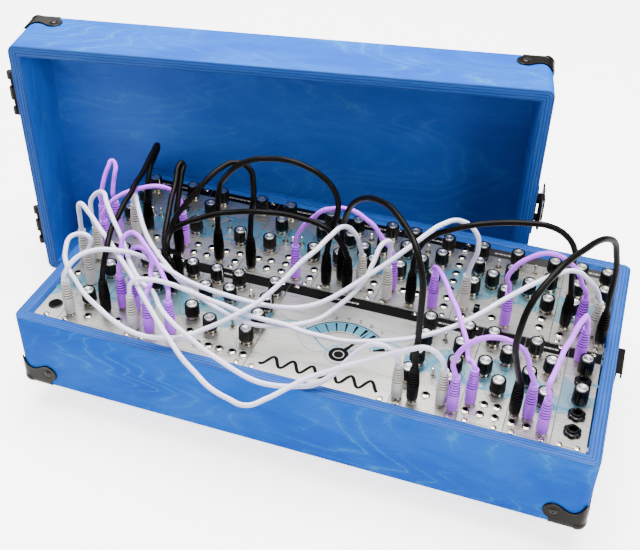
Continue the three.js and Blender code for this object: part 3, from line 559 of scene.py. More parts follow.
@dataclass(frozen=True)
class Finish:
    """One material: base of all the finishes.

    Attributes:
        name: Name of the material.
        tone: Its main colour.
        second: A lighter or darker colour that it varies to.
        rough: Its roughness.
    """

    name: str
    tone: str
    second: str
    rough: float = 0.5

    def material(self) -> bpy.types.Material:
        """Gives the material, made the first time that it is asked for.

        Returns:
            The material.
        """
        name = f"{self.name}_finish"
        found = bpy.data.materials.get(name)
        if found:
            return found
        made = bpy.data.materials.new(name)
        made.use_nodes = True
        made.diffuse_color = colour(self.tone)
        self.fill(Graph(made.node_tree), made.node_tree.nodes["Principled BSDF"])
        return made

    def fill(self, graph: Graph, shader: bpy.types.Node) -> None:
        """Sets and links the shader's inputs.

        Args:
            graph: The material's nodes.
            shader: Its Principled BSDF.
        """
        raise NotImplementedError

    def wear(self, graph: Graph) -> Masks:
        """Gives the masks of the wear group, in the piece's own coordinates."""
        where = graph.node("ShaderNodeTexCoord").outputs["Object"]
        return graph.node("ShaderNodeGroup", {"Vector": where},
                          node_tree=group("wear", wear)).outputs

    def varied(self, graph: Graph, share: object) -> bpy.types.NodeSocket:
        """Gives the main colour with a share of the second."""
        return graph.mix(share, colour(self.tone), colour(self.second))

    def bump(self, graph: Graph, height: object, depth: float,
             strength: float) -> bpy.types.NodeSocket:
        """Gives the normal of a height from 0 to 1 that stands for a depth in millimetres."""
        return graph.node("ShaderNodeBump", {"Height": height, "Distance": depth * MM,
                                             "Strength": strength}).outputs[0]


@dataclass(frozen=True)
class StainedPly(Finish):
    """Plywood face under a blue stain.

    Attributes:
        light: Colour of the figure where the stain took less.
        figure: How much the figure lines show.
        gloss: Specular level.
        fibres: How much the fibres show.
        flecks: How much the flecks show.
        pores: Depth of the fibres, in millimetres.
    """

    light: str = "6fb3cf"
    figure: float = 0.5
    gloss: float = 0.2
    fibres: float = 0.35
    flecks: float = 0.22
    pores: float = 0.04

    def fill(self, graph: Graph, shader: bpy.types.Node) -> None:
        """Sets and links the shader's inputs.

        Args:
            graph: The material's nodes.
            shader: Its Principled BSDF.
        """
        masks = graph.node("ShaderNodeGroup", {"Vector": graph.where()},
                           node_tree=group("grain", grain)).outputs
        base = self.varied(graph, masks["Stain"])
        for mask, share, over in (("Fibres", self.fibres, self.tone),
                                  ("Figure", self.figure, self.light),
                                  ("Flecks", self.flecks, self.light)):
            base = graph.mix(graph.math("MULTIPLY", masks[mask], share), base, colour(over))
        rough = graph.steps(masks["Fibres"], 0.0, 1.0, self.rough - 0.07, self.rough + 0.08)
        graph.feed(shader, {"Base Color": base, "Roughness": rough,
                            "Specular IOR Level": self.gloss,
                            "Normal": self.bump(graph, masks["Fibres"], self.pores, 0.5)})


@dataclass(frozen=True)
class PlyEdge(Finish):
    """Sawn edge of plywood: its layers as thin lines along the rim.

    Attributes:
        ply: Thickness of a layer, in millimetres.
        wander: How far the layers stray, in millimetres.
        glue: Colour of the lines between the layers.
        gap: Colour of the gaps in the layers.
        gloss: Specular level.
    """

    ply: float = 1.5
    wander: float = 0.9
    glue: str = "7fb9da"
    gap: str = "04204f"
    gloss: float = 0.2

    def fill(self, graph: Graph, shader: bpy.types.Node) -> None:
        """Sets and links the shader's inputs.

        Args:
            graph: The material's nodes.
            shader: Its Principled BSDF.
        """
        where = graph.where()
        across = graph.node("ShaderNodeSeparateXYZ", {0: where}).outputs[1]
        wander = graph.noise(graph.stretched(where, (14.0, 160.0, 1.0)), 1.0, 2.0, 0.5)
        across = graph.math("ADD", across, graph.math("MULTIPLY", wander, self.wander * MM))
        wave = graph.math("SINE", graph.math("MULTIPLY", across, math.pi / (self.ply * MM)))
        layers = graph.steps(wave, -0.7, 0.7)
        streaks = graph.noise(graph.stretched(where, (20.0, 1500.0, 1.0)), 1.0, 3.0, 0.6)
        lines = graph.steps(graph.math("ABSOLUTE", wave), 0.0, 0.2, 1.0, 0.0)
        lines = graph.math("MULTIPLY", lines, graph.steps(streaks, 0.45, 0.65))
        base = self.varied(graph, graph.math("MULTIPLY", layers, 0.8))
        base = graph.mix(graph.math("MULTIPLY", lines, 0.6), base, colour(self.glue))
        gaps = graph.noise(graph.stretched(where, (60.0, 900.0, 1.0)), 1.0, 2.0, 0.5)
        gaps = graph.steps(gaps, 0.71, 0.76)
        base = graph.mix(graph.math("MULTIPLY", gaps, 0.6), base, colour(self.gap))
        graph.feed(shader, {"Base Color": base, "Specular IOR Level": self.gloss,
                            "Roughness": graph.steps(streaks, 0.3, 0.7, self.rough, 0.7),
                            "Normal": self.bump(graph, layers, 0.04, 0.4)})


@dataclass(frozen=True)
class Metal(Finish):
    """Bare, plated or painted metal.

    Attributes:
        metallic: How metallic it is.
        grain: Depth of its grain, in millimetres.
    """

    metallic: float = 1.0
    grain: float = 0.01

    def fill(self, graph: Graph, shader: bpy.types.Node) -> None:
        """Sets and links the shader's inputs.

        Args:
            graph: The material's nodes.
            shader: Its Principled BSDF.
        """
        masks = self.wear(graph)
        rough = graph.steps(masks["Grit"], 0.25, 0.75, self.rough - 0.04, self.rough + 0.05)
        rough = graph.math("ADD", rough, graph.math("MULTIPLY", masks["Scratches"], 0.12))
        graph.feed(shader, {"Base Color": self.varied(graph, masks["Cloud"]),
                            "Metallic": self.metallic, "Roughness": rough,
                            "Normal": self.bump(graph, masks["Grit"], self.grain, 0.5)})


@dataclass(frozen=True)
class Moulded(Finish):
    """Moulded plastic or rubber.

    Attributes:
        sheen: Weight of its soft sheen.
        grain: Depth of its moulded grain, in millimetres.
        coat: Weight of a glossy skin.
        soft: Light that passes into it.
        gloss: Specular level.
        skin: Roughness of the glossy skin.
        reach: How far light passes into it, in metres.
    """

    sheen: float = 0.0
    grain: float = 0.02
    coat: float = 0.0
    soft: float = 0.0
    gloss: float = 0.5
    skin: float = 0.12
    reach: float = 0.002

    def fill(self, graph: Graph, shader: bpy.types.Node) -> None:
        """Sets and links the shader's inputs.

        Args:
            graph: The material's nodes.
            shader: Its Principled BSDF.
        """
        masks = self.wear(graph)
        rough = graph.steps(masks["Grit"], 0.25, 0.75, self.rough - 0.05, self.rough + 0.07)
        graph.feed(shader, {"Base Color": self.varied(graph, masks["Cloud"]), "Roughness": rough,
                            "Specular IOR Level": self.gloss, "Sheen Weight": self.sheen,
                            "Coat Weight": self.coat, "Coat Roughness": self.skin,
                            "Subsurface Weight": self.soft, "Subsurface Scale": self.reach,
                            "Normal": self.bump(graph, masks["Grit"], self.grain, 0.7)})


@dataclass(frozen=True)
class BrightFloor(Moulded):
    """White paper that looks lit from behind to the camera alone.

    Attributes:
        glow: Light that it adds to what the camera sees.
    """

    glow: float = 0.0

    def fill(self, graph: Graph, shader: bpy.types.Node) -> None:
        """Sets and links the shader's inputs.

        Args:
            graph: The material's nodes.
            shader: Its Principled BSDF.
        """
        super().fill(graph, shader)
        seen = graph.node("ShaderNodeLightPath").outputs["Is Camera Ray"]
        graph.feed(shader, {"Emission Color": (1.0, 1.0, 1.0, 1.0),
                            "Emission Strength": graph.math("MULTIPLY", seen, self.glow)})


@dataclass(frozen=True)
class SpunCap(Finish):
    """Aluminium cap turned on a lathe, with its grooves round the axis.

    Attributes:
        pitch: Distance between its grooves, in millimetres.
    """

    pitch: float = 0.35

    def fill(self, graph: Graph, shader: bpy.types.Node) -> None:
        """Sets and links the shader's inputs.

        Args:
            graph: The material's nodes.
            shader: Its Principled BSDF.
        """
        where = graph.where()
        out = graph.node("ShaderNodeSeparateXYZ", {0: where}).outputs[1]
        turns = graph.math("MULTIPLY", out, 2 * math.pi / (self.pitch * MM))
        fine = graph.noise(graph.stretched(where, (3000.0, 9000.0, 1.0)), 1.0, 2.0, 0.5)
        graph.feed(shader, {
            "Base Color": self.varied(graph, graph.steps(fine, 0.3, 0.7)), "Metallic": 1.0,
            "Roughness": graph.steps(fine, 0.3, 0.7, self.rough, 0.38),
            "Normal": self.bump(graph, graph.math("SINE", turns), 0.03, 0.7)})


@dataclass(frozen=True)
class PanelSheet(Finish):
    """Silver panel: fine brushing under a clear print.

    Attributes:
        metallic: How metallic it is.
    """

    metallic: float = 0.95

    def fill(self, graph: Graph, shader: bpy.types.Node) -> None:
        """Sets and links the shader's inputs.

        Args:
            graph: The material's nodes.
            shader: Its Principled BSDF.
        """
        masks = self.wear(graph)
        where = graph.node("ShaderNodeTexCoord").outputs["Object"]
        brush = graph.noise(graph.stretched(where, (25.0, 2600.0, 25.0)), 1.0, 3.0, 0.6)
        base = graph.mix(graph.math("MULTIPLY", masks["Cloud"], 0.25),
                         self.varied(graph, graph.steps(brush, 0.3, 0.7)), colour(self.second))
        rough = graph.steps(brush, 0.25, 0.75, self.rough - 0.05, self.rough + 0.1)
        graph.feed(shader, {"Base Color": base, "Metallic": self.metallic, "Roughness": rough,
                            "Normal": self.bump(graph, brush, 0.012, 0.4)})


PLY = StainedPly("stained_plywood", "0144a8", "0e5ebc", 0.6, "3f9fbe", 0.3, 0.05)
PLY_INSIDE = StainedPly("stained_plywood_inside", "1a54b0", "2467c0", 0.6, "66adc4", 0.16, 0.2)
PLY_RIM = PlyEdge("plywood_edge", "023076", "0a4c98", 0.6)
BLACK_STEEL = Metal("black_steel", "15110e", "1d1813", 0.34, 0.85)
SCREW_STEEL = Metal("screw_steel", "2a2623", "3a3531", 0.3, 0.8)
NICKEL = Metal("nickel", "c4bca9", "d8d1c1", 0.16)
# Near-black bore finish: partly black plastic, partly painted shade where shallow bores stand for
# deep holes.
BORE_BLACK_AND_SHADE = Moulded("bore_black_and_shade", "010101", "020202", 0.6, gloss=0.05)
ALUMINIUM = Metal("aluminium", "a5a7aa", "bfc1c4", 0.3)
SPUN = SpunCap("spun_cap", "9c9c9c", "c4c4c3", 0.24)
PANEL = PanelSheet("silver_panel", "abaaa4", "bcbab3", 0.3)
KNOB_BLACK = Moulded("knob_black", "020202", "030303", 0.22, 0.0, 0.004, gloss=0.22)
KNOB_LINE = Moulded("knob_line", "b9b7b0", "cfcdc6", 0.4)
INK_BLACK = Moulded("ink_black", "010101", "030303", 0.6, 0.0, 0.004, gloss=0.06)
# Glossier header ink whose brown-grey tone is a painted reflection.
INK_BROWN_REFLECTION = Moulded("ink_brown_reflection", "14110f", "1e1a17", 0.45, 0.0, 0.004, gloss=0.4)
INK_LIGHT = Moulded("ink_light", "83827e", "94938f", 0.4, 0.0, 0.004)
INK_BLUE = Metal("ink_blue", "47829a", "5590a6", 0.34, 0.8)
INK_TINT = Metal("ink_tint", "7696a1", "84a3ad", 0.32, 0.9)
RUBBER = Moulded("rubber", "060606", "0c0b0b", 0.75, 0.1, 0.05, gloss=0.25)
WHITE_CORD = Moulded("white_cord", "c3c1dc", "d5d3e8", 0.42, 0.0, 0.01, 0.0, 0.05)
WHITE_BOOT = Moulded("white_boot", "b5b2ab", "c4c1ba", 0.45, 0.0, 0.02, 0.0, 0.05)
BLACK_CORD = Moulded("black_cord", "030201", "060403", 0.42, 0.0, 0.01, gloss=0.08)
VIOLET_CORD = Moulded("violet_cord", "b24bf0", "bd5af6", 0.45, 0.0, 0.01, 0.0, 0.02, 0.3)
# Darker finishes for the grooves between a boot's ribs: painted shade in the grooves.
WHITE_GROOVE_SHADE = Moulded("white_groove_shade", "8b8881", "96938b", 0.6, gloss=0.05)
BLACK_GROOVE_SHADE = Moulded("black_groove_shade", "010101", "020202", 0.7, gloss=0.03)
VIOLET_GROOVE_SHADE = Moulded("violet_groove_shade", "6e2ea6", "7836b0", 0.6, gloss=0.05)
BOARD = Moulded("circuit_board", "123f26", "1b5535", 0.4, 0.0, 0.02, 0.3)
FLOOR = BrightFloor("floor", "f6f6f6", "fafafa", 0.8, glow=3.0)


# Camera and cords


@dataclass(frozen=True)
class PhotoCamera:
    """The camera that took the picture.

    Attributes:
        place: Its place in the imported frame, in millimetres.
        yaw: Its turn to the left, in degrees.
        pitch: How far it looks down, in degrees.
        roll: Its turn about its own axis, in degrees.
        lens: Its focal length on a 36 mm wide picture.
    """

    place: tuple[float, float, float] = (276.45, -767.46, 731.28)
    yaw: float = 18.178
    pitch: float = 38.228
    roll: float = 1.250
    lens: float = 55.03

    def build(self) -> bpy.types.Object:
        """Makes the camera and looks through it.

        Returns:
            The camera.
        """
        yaw, pitch, roll = (math.radians(angle) for angle in (self.yaw, self.pitch, self.roll))
        ahead = Vector((-math.sin(yaw) * math.cos(pitch), math.cos(yaw) * math.cos(pitch),
                        -math.sin(pitch)))
        right = Vector((math.cos(yaw), math.sin(yaw), 0.0))
        up = right.cross(ahead)
        level, rise = right, up
        right = level * math.cos(roll) + rise * math.sin(roll)
        up = rise * math.cos(roll) - level * math.sin(roll)
        data = bpy.data.cameras.new("photo_camera")
        data.lens = self.lens
        data.sensor_width = 36.0
        data.sensor_fit = "HORIZONTAL"
        data.clip_start = 0.05
        data.clip_end = 20.0
        camera = bpy.data.objects.new("photo_camera", data)
        turn = Matrix((right, up, -ahead)).transposed().to_4x4()
        camera.matrix_world = Matrix.Translation(Vector(self.place) * MM) @ turn
        bpy.context.scene.collection.objects.link(camera)
        bpy.context.scene.camera = camera
        log("camera")
        return camera


class CordColour(Enum):
    """The three colours of patch cord."""

    WHITE = "white_cord"
    BLACK = "black_cord"
    VIOLET = "violet_cord"


@dataclass(frozen=True)
class CordLook:
    """What follows from a cord's colour: its finishes and sizes.

    Attributes:
        cord: Finish of the cord.
        boot: Finish of its boots.
        groove: Darker finish of the grooves between a boot's ribs: painted shade in the grooves.
        diameter: The cord's diameter.
        widest: Radius of a boot's first rib.
        narrowest: Radius of its last rib.
        throat: Radius of the boot above its ribs.
        base: Radius and height of each ring of the boot, from its foot to its first rib.
        lip: The same from its last rib to where the cord leaves.
    """

    cord: Moulded
    boot: Moulded
    groove: Moulded
    diameter: float = 4.6
    widest: float = 5.2
    narrowest: float = 3.9
    throat: float = 3.3
    base: Profile = ((3.2, 0.0), (4.7, 0.0), (5.1, 0.5), (5.2, 1.5), (5.2, 18.0))
    lip: Profile = ((3.3, 36.0), (3.7, 36.4), (3.75, 38.2), (3.4, 38.6), (2.7, 38.6), (2.35, 37.0))


CORD_LOOKS = {
    CordColour.WHITE: CordLook(WHITE_CORD, WHITE_BOOT, WHITE_GROOVE_SHADE),
    CordColour.BLACK: CordLook(
        BLACK_CORD, BLACK_CORD, BLACK_GROOVE_SHADE, 5.6, 5.5, 4.3, 3.5,
        ((2.8, 0.0), (3.9, 0.0), (4.8, 1.2), (5.2, 3.5), (5.3, 10.0), (5.5, 18.0)),
        ((3.4, 36.8), (3.2, 38.3), (2.82, 38.6), (2.7, 37.0))),
    CordColour.VIOLET: CordLook(VIOLET_CORD, VIOLET_CORD, VIOLET_GROOVE_SHADE),
}
CORD_START = 120.0  # height at which a cord starts inside its plug's boot


@dataclass(frozen=True)
class Route:
    """One cord's way.

    Attributes:
        name: Name of the cord.
        colour: Its colour.
        solid: Whether it stands for a CAD node of its name.
        length: Its length from plug to plug; not used.
        points: The points that it follows, from the top of one boot to the top of the other.
    """

    name: str
    colour: CordColour
    solid: bool
    length: float
    points: list[Point]


ROUTES = [
    Route("white_cord_front", CordColour.WHITE, True, 590, [
        (-256, -40, 150), (-255, -41, 169), (-252, -42, 187), (-236, -51, 184), (-221, -61, 178),
        (-205, -72, 174), (-187, -88, 173), (-174, -97, 168), (-161, -107, 163), (-147, -120, 161),
        (-134, -129, 153), (-120, -139, 146), (-105, -150, 141), (-90, -160, 135),
        (-74, -168, 130), (-57, -176, 125), (-39, -180, 122), (-21, -181, 120), (-6, -169, 122),
        (6, -156, 125), (20, -144, 131), (36, -137, 138), (52, -132, 146), (69, -129, 155),
        (85, -127, 165), (102, -125, 174), (119, -122, 180), (132, -117, 168), (136, -114, 150)]),
    Route("white_cord_second", CordColour.WHITE, True, 540, [
        (-246, -30, 150), (-247, -32, 169), (-246, -29, 186), (-234, -28, 196), (-221, -42, 194),
        (-207, -57, 189), (-196, -66, 180), (-186, -75, 171), (-173, -90, 166), (-160, -99, 158),
        (-144, -106, 154), (-129, -120, 149), (-113, -129, 144), (-96, -136, 140),
        (-79, -141, 134), (-62, -144, 128), (-44, -149, 125), (-25, -152, 122), (-7, -151, 121),
        (11, -146, 121), (28, -138, 122), (42, -129, 131), (52, -122, 145), (63, -121, 160),
        (77, -123, 172), (92, -121, 166), (97, -119, 150)]),
    Route("white_cord_third", CordColour.WHITE, True, 560, [
        (-230, -117, 150), (-225, -122, 166), (-218, -109, 177), (-206, -97, 180),
        (-188, -89, 179), (-172, -81, 173), (-156, -77, 165), (-137, -80, 161), (-119, -82, 156),
        (-101, -82, 152), (-82, -80, 148), (-64, -79, 146), (-45, -78, 145), (-26, -76, 146),
        (-8, -73, 149), (9, -67, 155), (23, -57, 162), (36, -46, 170), (49, -36, 179),
        (62, -25, 188), (74, -14, 197), (86, -4, 207), (98, 10, 213), (113, 22, 213),
        (129, 22, 203), (133, 19, 187), (129, 21, 168), (126, 22, 150)]),
    Route("white_cord_loop", CordColour.WHITE, True, 520, [
        (-233, -70, 150), (-230, -66, 167), (-244, -72, 171), (-243, -90, 166), (-234, -104, 159),
        (-221, -113, 152), (-205, -124, 147), (-189, -131, 143), (-172, -138, 139),
        (-155, -142, 135), (-137, -141, 131), (-119, -135, 129), (-103, -128, 130),
        (-88, -117, 134), (-73, -109, 141), (-59, -100, 149), (-46, -87, 155), (-36, -75, 163),
        (-27, -60, 171), (-19, -46, 179), (-9, -32, 186), (-1, -17, 193), (8, -1, 196),
        (17, 7, 184), (20, 13, 167), (22, 18, 150)]),
    Route("white_cord_long", CordColour.WHITE, True, 560, [
        (-162, -117, 150), (-159, -114, 168), (-143, -109, 171), (-126, -104, 167),
        (-109, -100, 160), (-91, -99, 155), (-73, -97, 150), (-55, -95, 144), (-37, -93, 141),
        (-18, -92, 140), (0, -92, 137), (19, -91, 136), (38, -90, 136), (56, -87, 138),
        (74, -83, 141), (92, -79, 145), (109, -73, 150), (125, -65, 155), (140, -55, 161),
        (153, -43, 166), (165, -30, 171), (178, -17, 176), (191, -5, 181), (206, 5, 187),
        (223, 11, 192), (236, 16, 182), (246, 22, 167), (251, 25, 150)]),
    Route("white_cord_middle", CordColour.WHITE, True, 520, [
        (-229, 20, 150), (-228, 17, 168), (-222, 13, 179), (-212, -2, 176), (-201, -17, 171),
        (-190, -31, 166), (-177, -45, 163), (-163, -57, 160), (-148, -68, 157), (-132, -77, 152),
        (-116, -84, 148), (-98, -90, 144), (-81, -94, 140), (-62, -97, 137), (-44, -96, 135),
        (-26, -91, 135), (-8, -84, 137), (8, -76, 141), (21, -64, 149), (32, -52, 158),
        (40, -38, 167), (44, -23, 178), (47, -8, 189), (52, 3, 187), (52, 7, 169), (51, 9, 150)]),
    Route("black_cord_arch", CordColour.BLACK, True, 290, [
        (-151, -40, 150), (-155, -50, 163), (-157, -39, 173), (-154, -31, 186), (-145, -27, 200),
        (-136, -22, 212), (-128, -12, 223), (-120, 1, 230), (-109, 13, 233), (-94, 15, 228),
        (-88, 9, 215), (-88, 8, 199), (-91, 10, 183), (-93, 11, 166), (-93, 9, 150)]),
    Route("black_cord_high", CordColour.BLACK, True, 340, [
        (-129, 10, 150), (-128, 10, 169), (-127, 10, 188), (-123, 10, 207), (-113, 6, 223),
        (-104, 4, 234), (-89, 8, 243), (-72, 10, 247), (-53, 9, 250), (-34, 9, 247), (-17, 9, 239),
        (-5, 9, 225), (-2, 10, 206), (-7, 11, 185), (-10, 10, 168), (-12, 9, 150)]),
    Route("black_cord_centre", CordColour.BLACK, True, 410, [
        (0, 22, 150), (-1, 23, 168), (2, 19, 187), (7, 12, 204), (13, 5, 218), (21, -5, 231),
        (30, -17, 243), (40, -29, 253), (51, -42, 261), (62, -56, 268), (73, -71, 272),
        (85, -85, 271), (96, -100, 269), (105, -112, 258), (110, -117, 241), (111, -119, 222),
        (111, -119, 203), (111, -118, 183), (110, -116, 165), (111, -119, 150)]),
    Route("black_cord_wide", CordColour.BLACK, True, 310, [
        (75, 10, 150), (76, 10, 168), (81, 11, 185), (92, 12, 198), (107, 12, 208), (123, 13, 216),
        (140, 17, 220), (158, 19, 224), (175, 21, 226), (193, 23, 226), (209, 25, 218),
        (219, 26, 203), (220, 28, 186), (222, 27, 168), (224, 27, 150)]),
    Route("black_cord_right", CordColour.BLACK, True, 380, [
        (199, -105, 150), (196, -110, 167), (193, -116, 185), (191, -121, 203), (192, -120, 222),
        (195, -112, 238), (202, -99, 251), (210, -84, 258), (218, -67, 260), (227, -50, 260),
        (235, -33, 258), (243, -17, 252), (250, -4, 241), (254, 4, 224), (257, 9, 206),
        (258, 12, 188), (258, 12, 169), (259, 14, 150)]),
    Route("black_cord_left", CordColour.BLACK, False, 330, [
        (-221, 34, 150), (-222, 41, 166), (-225, 55, 177), (-228, 73, 181), (-229, 83, 187),
        (-226, 65, 190), (-223, 46, 188), (-219, 27, 188), (-215, 5, 190), (-212, -12, 189),
        (-211, -28, 187), (-209, -44, 184), (-206, -64, 182), (-201, -83, 176), (-200, -95, 162),
        (-198, -104, 150)]),
    Route("black_cord_back", CordColour.BLACK, False, 230, [
        (-172, 6, 150), (-173, 7, 163), (-174, 15, 173), (-176, 25, 182), (-178.5, 36, 191),
        (-181, 44, 199), (-182.5, 39, 198.5), (-180.5, 28, 192), (-178, 17, 186), (-176, 5, 181),
        (-173, -7, 175), (-170, -19, 170), (-167.5, -30, 163.5), (-165.5, -36.5, 156.5),
        (-165, -36.5, 150)]),
    Route("black_cord_low", CordColour.BLACK, False, 300, [
        (-151, -54, 150), (-160, -45, 156), (-160, -36, 168), (-150, -25, 176), (-136, -16, 180),
        (-121, -8, 184), (-105, -2, 186), (-88, 1, 189), (-72, 5, 189), (-55, 8, 189),
        (-37, 7, 189), (-19, 5, 188), (-5, 4, 182), (5, 7, 166), (10, 9, 150)]),
    Route("violet_cord_rear", CordColour.VIOLET, True, 220, [
        (-45, 10, 150), (-44, 10, 161), (-40, 11, 172), (-34, 13, 181), (-27, 14, 189),
        (-19, 14, 198), (-9, 15, 202), (2, 18, 203), (13, 19, 201), (22, 20, 195), (31, 21, 188),
        (37, 22, 179), (43, 23, 170), (50, 24, 161), (52, 24, 150)]),
    Route("violet_cord_arch", CordColour.VIOLET, True, 200, [
        (147, -118, 150), (145, -118, 157), (143, -119, 166), (145, -118, 176), (149, -118, 185),
        (156, -116, 193), (164, -114, 198), (174, -113, 201), (184, -111, 199), (192, -109, 194),
        (199, -107, 187), (203, -107, 178), (205, -106, 168), (209, -105, 159), (211, -105, 150)]),
    Route("violet_cord_right", CordColour.VIOLET, True, 230, [
        (225, -118, 150), (225, -121, 162), (223, -128, 172), (223, -131, 182), (225, -119, 183),
        (227, -107, 187), (229, -95, 191), (232, -83, 191), (234, -70, 190), (236, -58, 188),
        (239, -46, 186), (241, -35, 181), (242, -26, 172), (244, -19, 162), (244, -17, 150)]),
    Route("violet_cord_left", CordColour.VIOLET, False, 170, [
        (-259, 7, 150), (-259, 7, 158), (-260, 7, 164), (-259, 11, 170), (-258, 14, 177),
        (-257, 18, 184), (-255, 22, 191), (-253, 27, 196), (-248, 25, 192), (-247, 20, 186),
        (-248, 18, 178), (-248, 15, 171), (-248, 13, 164), (-249, 17, 158), (-249, 17, 150)]),
    Route("violet_cord_left_second", CordColour.VIOLET, False, 190, [
        (-244, -17, 150), (-244, -17, 159), (-240, -15, 167), (-235, -12, 174), (-229, -8, 179),
        (-223, -3, 182), (-216, 4, 183), (-208, 6, 186), (-199, 9, 188), (-191, 13, 187),
        (-184, 17, 183), (-179, 20, 176), (-175, 22, 168), (-174, 23, 159), (-174, 23, 150)]),
    Route("violet_cord_left_third", CordColour.VIOLET, False, 190, [
        (-186, -92, 150), (-187, -90, 158), (-187, -83, 166), (-187, -81, 175), (-187, -76, 184),
        (-181, -71, 189), (-172, -73, 189), (-164, -78, 186), (-156, -83, 182), (-149, -87, 178),
        (-142, -92, 173), (-136, -97, 168), (-130, -102, 162), (-126, -109, 158),
        (-126, -111, 150)]),
    Route("violet_cord_left_fourth", CordColour.VIOLET, False, 170, [
        (-173, -92, 150), (-173, -92, 157), (-176, -86, 161), (-182, -78, 163), (-182, -72, 168),
        (-174, -73, 175), (-166, -74, 174), (-159, -78, 172), (-155, -83, 168), (-154, -88, 163),
        (-150, -96, 160), (-147, -105, 160), (-146, -112, 160), (-146, -116, 157),
        (-146, -116, 150)]),
    Route("violet_cord_middle", CordColour.VIOLET, False, 220, [
        (97, 12, 150), (95, 16, 154), (94, 18, 154), (99, 9, 163), (105, -2, 167), (111, -13, 168),
        (117, -25, 169), (123, -37, 169), (130, -48, 168), (136, -60, 166), (142, -71, 163),
        (148, -81, 157), (152, -90, 149), (158, -100, 155), (160, -104, 150)]),
    Route("violet_cord_front", CordColour.VIOLET, False, 200, [
        (169, 10, 150), (168, 10, 160), (165, 9, 169), (168, 10, 179), (173, 11, 187),
        (181, 13, 194), (189, 15, 199), (198, 17, 201), (208, 19, 199), (216, 21, 193),
        (223, 23, 186), (228, 24, 178), (232, 25, 168), (237, 26, 160), (238, 26, 150)]),
]


@dataclass(frozen=True)
class Boot:
    """Ribbed boot of a 3.5 mm plug, over the plug's nickel foot, standing in a jack.

    Attributes:
        look: The looks of its cord.
        colour: Its cord's colour.
        foot: Height of its foot.
        ribs: How many ribs it has.
        first_rib: Height of the first rib above the foot.
        pitch: Distance from rib to rib.
        groove: Height and depth of a groove.
        core: Least radius in a groove.
    """

    look: CordLook
    colour: CordColour
    foot: float = 114.4
    ribs: int = 6
    first_rib: float = 18.6
    pitch: float = 2.8
    groove: tuple[float, float] = (1.15, 1.5)
    core: float = 2.9

    def outline(self) -> tuple[list[tuple[float, float]], list[int]]:
        """Gives the boot's outline from its foot to the lip where the cord leaves.

        Returns:
            Radius and height of each ring above the foot, and the finish number of each band.
        """
        look = self.look
        rings = [*look.base, (look.widest - 0.1, self.first_rib)]
        slots = [0] * (len(rings) - 1)
        high, deep = self.groove
        for rib in range(self.ribs):
            low = self.first_rib + rib * self.pitch
            size = look.widest - (look.widest - look.narrowest) * rib / (self.ribs - 1)
            core = max(size - deep, self.core)
            after = low + self.pitch
            rings += [(core, low + 0.1), (core, low + high), (size, low + high + 0.1),
                      (size - 0.05, after - 0.25), (size - 0.15, after - 0.05)]
            # Slot 2 paints the shade inside each groove with a darker finish.
            slots += [2, 2, 2, 0, 0]
        rings += [(look.throat, self.first_rib + self.ribs * self.pitch), *look.lip]
        return rings, slots + [0] * (len(look.lip) + 1)

    def build(self, name: str, at: Point) -> bpy.types.Object:
        """Makes the boot with its plug's foot.

        Args:
            name: The piece's name.
            at: Its place.

        Returns:
            The object.
        """
        shape = Shape()
        place = (at[0], at[1], self.foot)
        rings, slots = self.outline()
        shape.lathe(rings, place, 28, slots)
        shape.lathe([(3.0, -0.2), (3.5, -0.2), (3.5, 0.5), (3.0, 0.6)], place, 24, 1)
        # The third finish is the darker groove finish: painted shade between the ribs.
        finishes = [self.look.boot.material(), NICKEL.material(), self.look.groove.material()]
        return shape.build(name, finishes, Body.CASE, self.colour.value, 40.0)


def packed(point: Point) -> Vector:
    """Gives a point of the case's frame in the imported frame, in metres."""
    return Vector([value * MM for value in point]) + CASE_MIDDLE * MM


@dataclass(frozen=True)
class PatchCord:
    """A cord with a boot at each end.

    Attributes:
        route: Its route.
    """

    route: Route

    def curve(self, points: Sequence[Point], diameter: float) -> bpy.types.Object:
        """Makes the cord itself.

        Args:
            points: The points that it follows, its ends inside the boots included.
            diameter: Its diameter.

        Returns:
            The cord.
        """
        data = bpy.data.curves.new(self.route.name, "CURVE")
        data.dimensions = "3D"
        data.bevel_depth = diameter * MM / 2
        data.bevel_resolution = 6
        data.resolution_u = 10
        data.use_fill_caps = True
        spline = data.splines.new("BEZIER")
        spline.bezier_points.add(len(points) - 1)
        for knot, point in zip(spline.bezier_points, points):
            knot.co = packed(point)
            knot.handle_left_type = knot.handle_right_type = "AUTO"
        cord = bpy.data.objects.new(f"{self.route.name}_lead", data)
        bpy.context.scene.collection.objects.link(cord)
        return cord

    def build(self) -> bpy.types.Object:
        """Returns:
            The cord.
        """
        route = self.route
        look = CORD_LOOKS[route.colour]
        first, *_, last = route.points
        ends = ((first[0], first[1], CORD_START), (last[0], last[1], CORD_START))
        cord = self.curve([ends[0], *route.points, ends[1]], look.diameter)
        cord.data.materials.append(look.cord.material())
        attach(cord, Body.CASE.value)
        if route.solid:
            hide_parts(route.name)
        boots = [Boot(look, route.colour).build(f"{route.name}_plug_{number}", end)
                 for number, end in enumerate(ends, 1)]
        tuple(packed(ends[0]))
        log(cord.name)
        return cord


# Case and lid


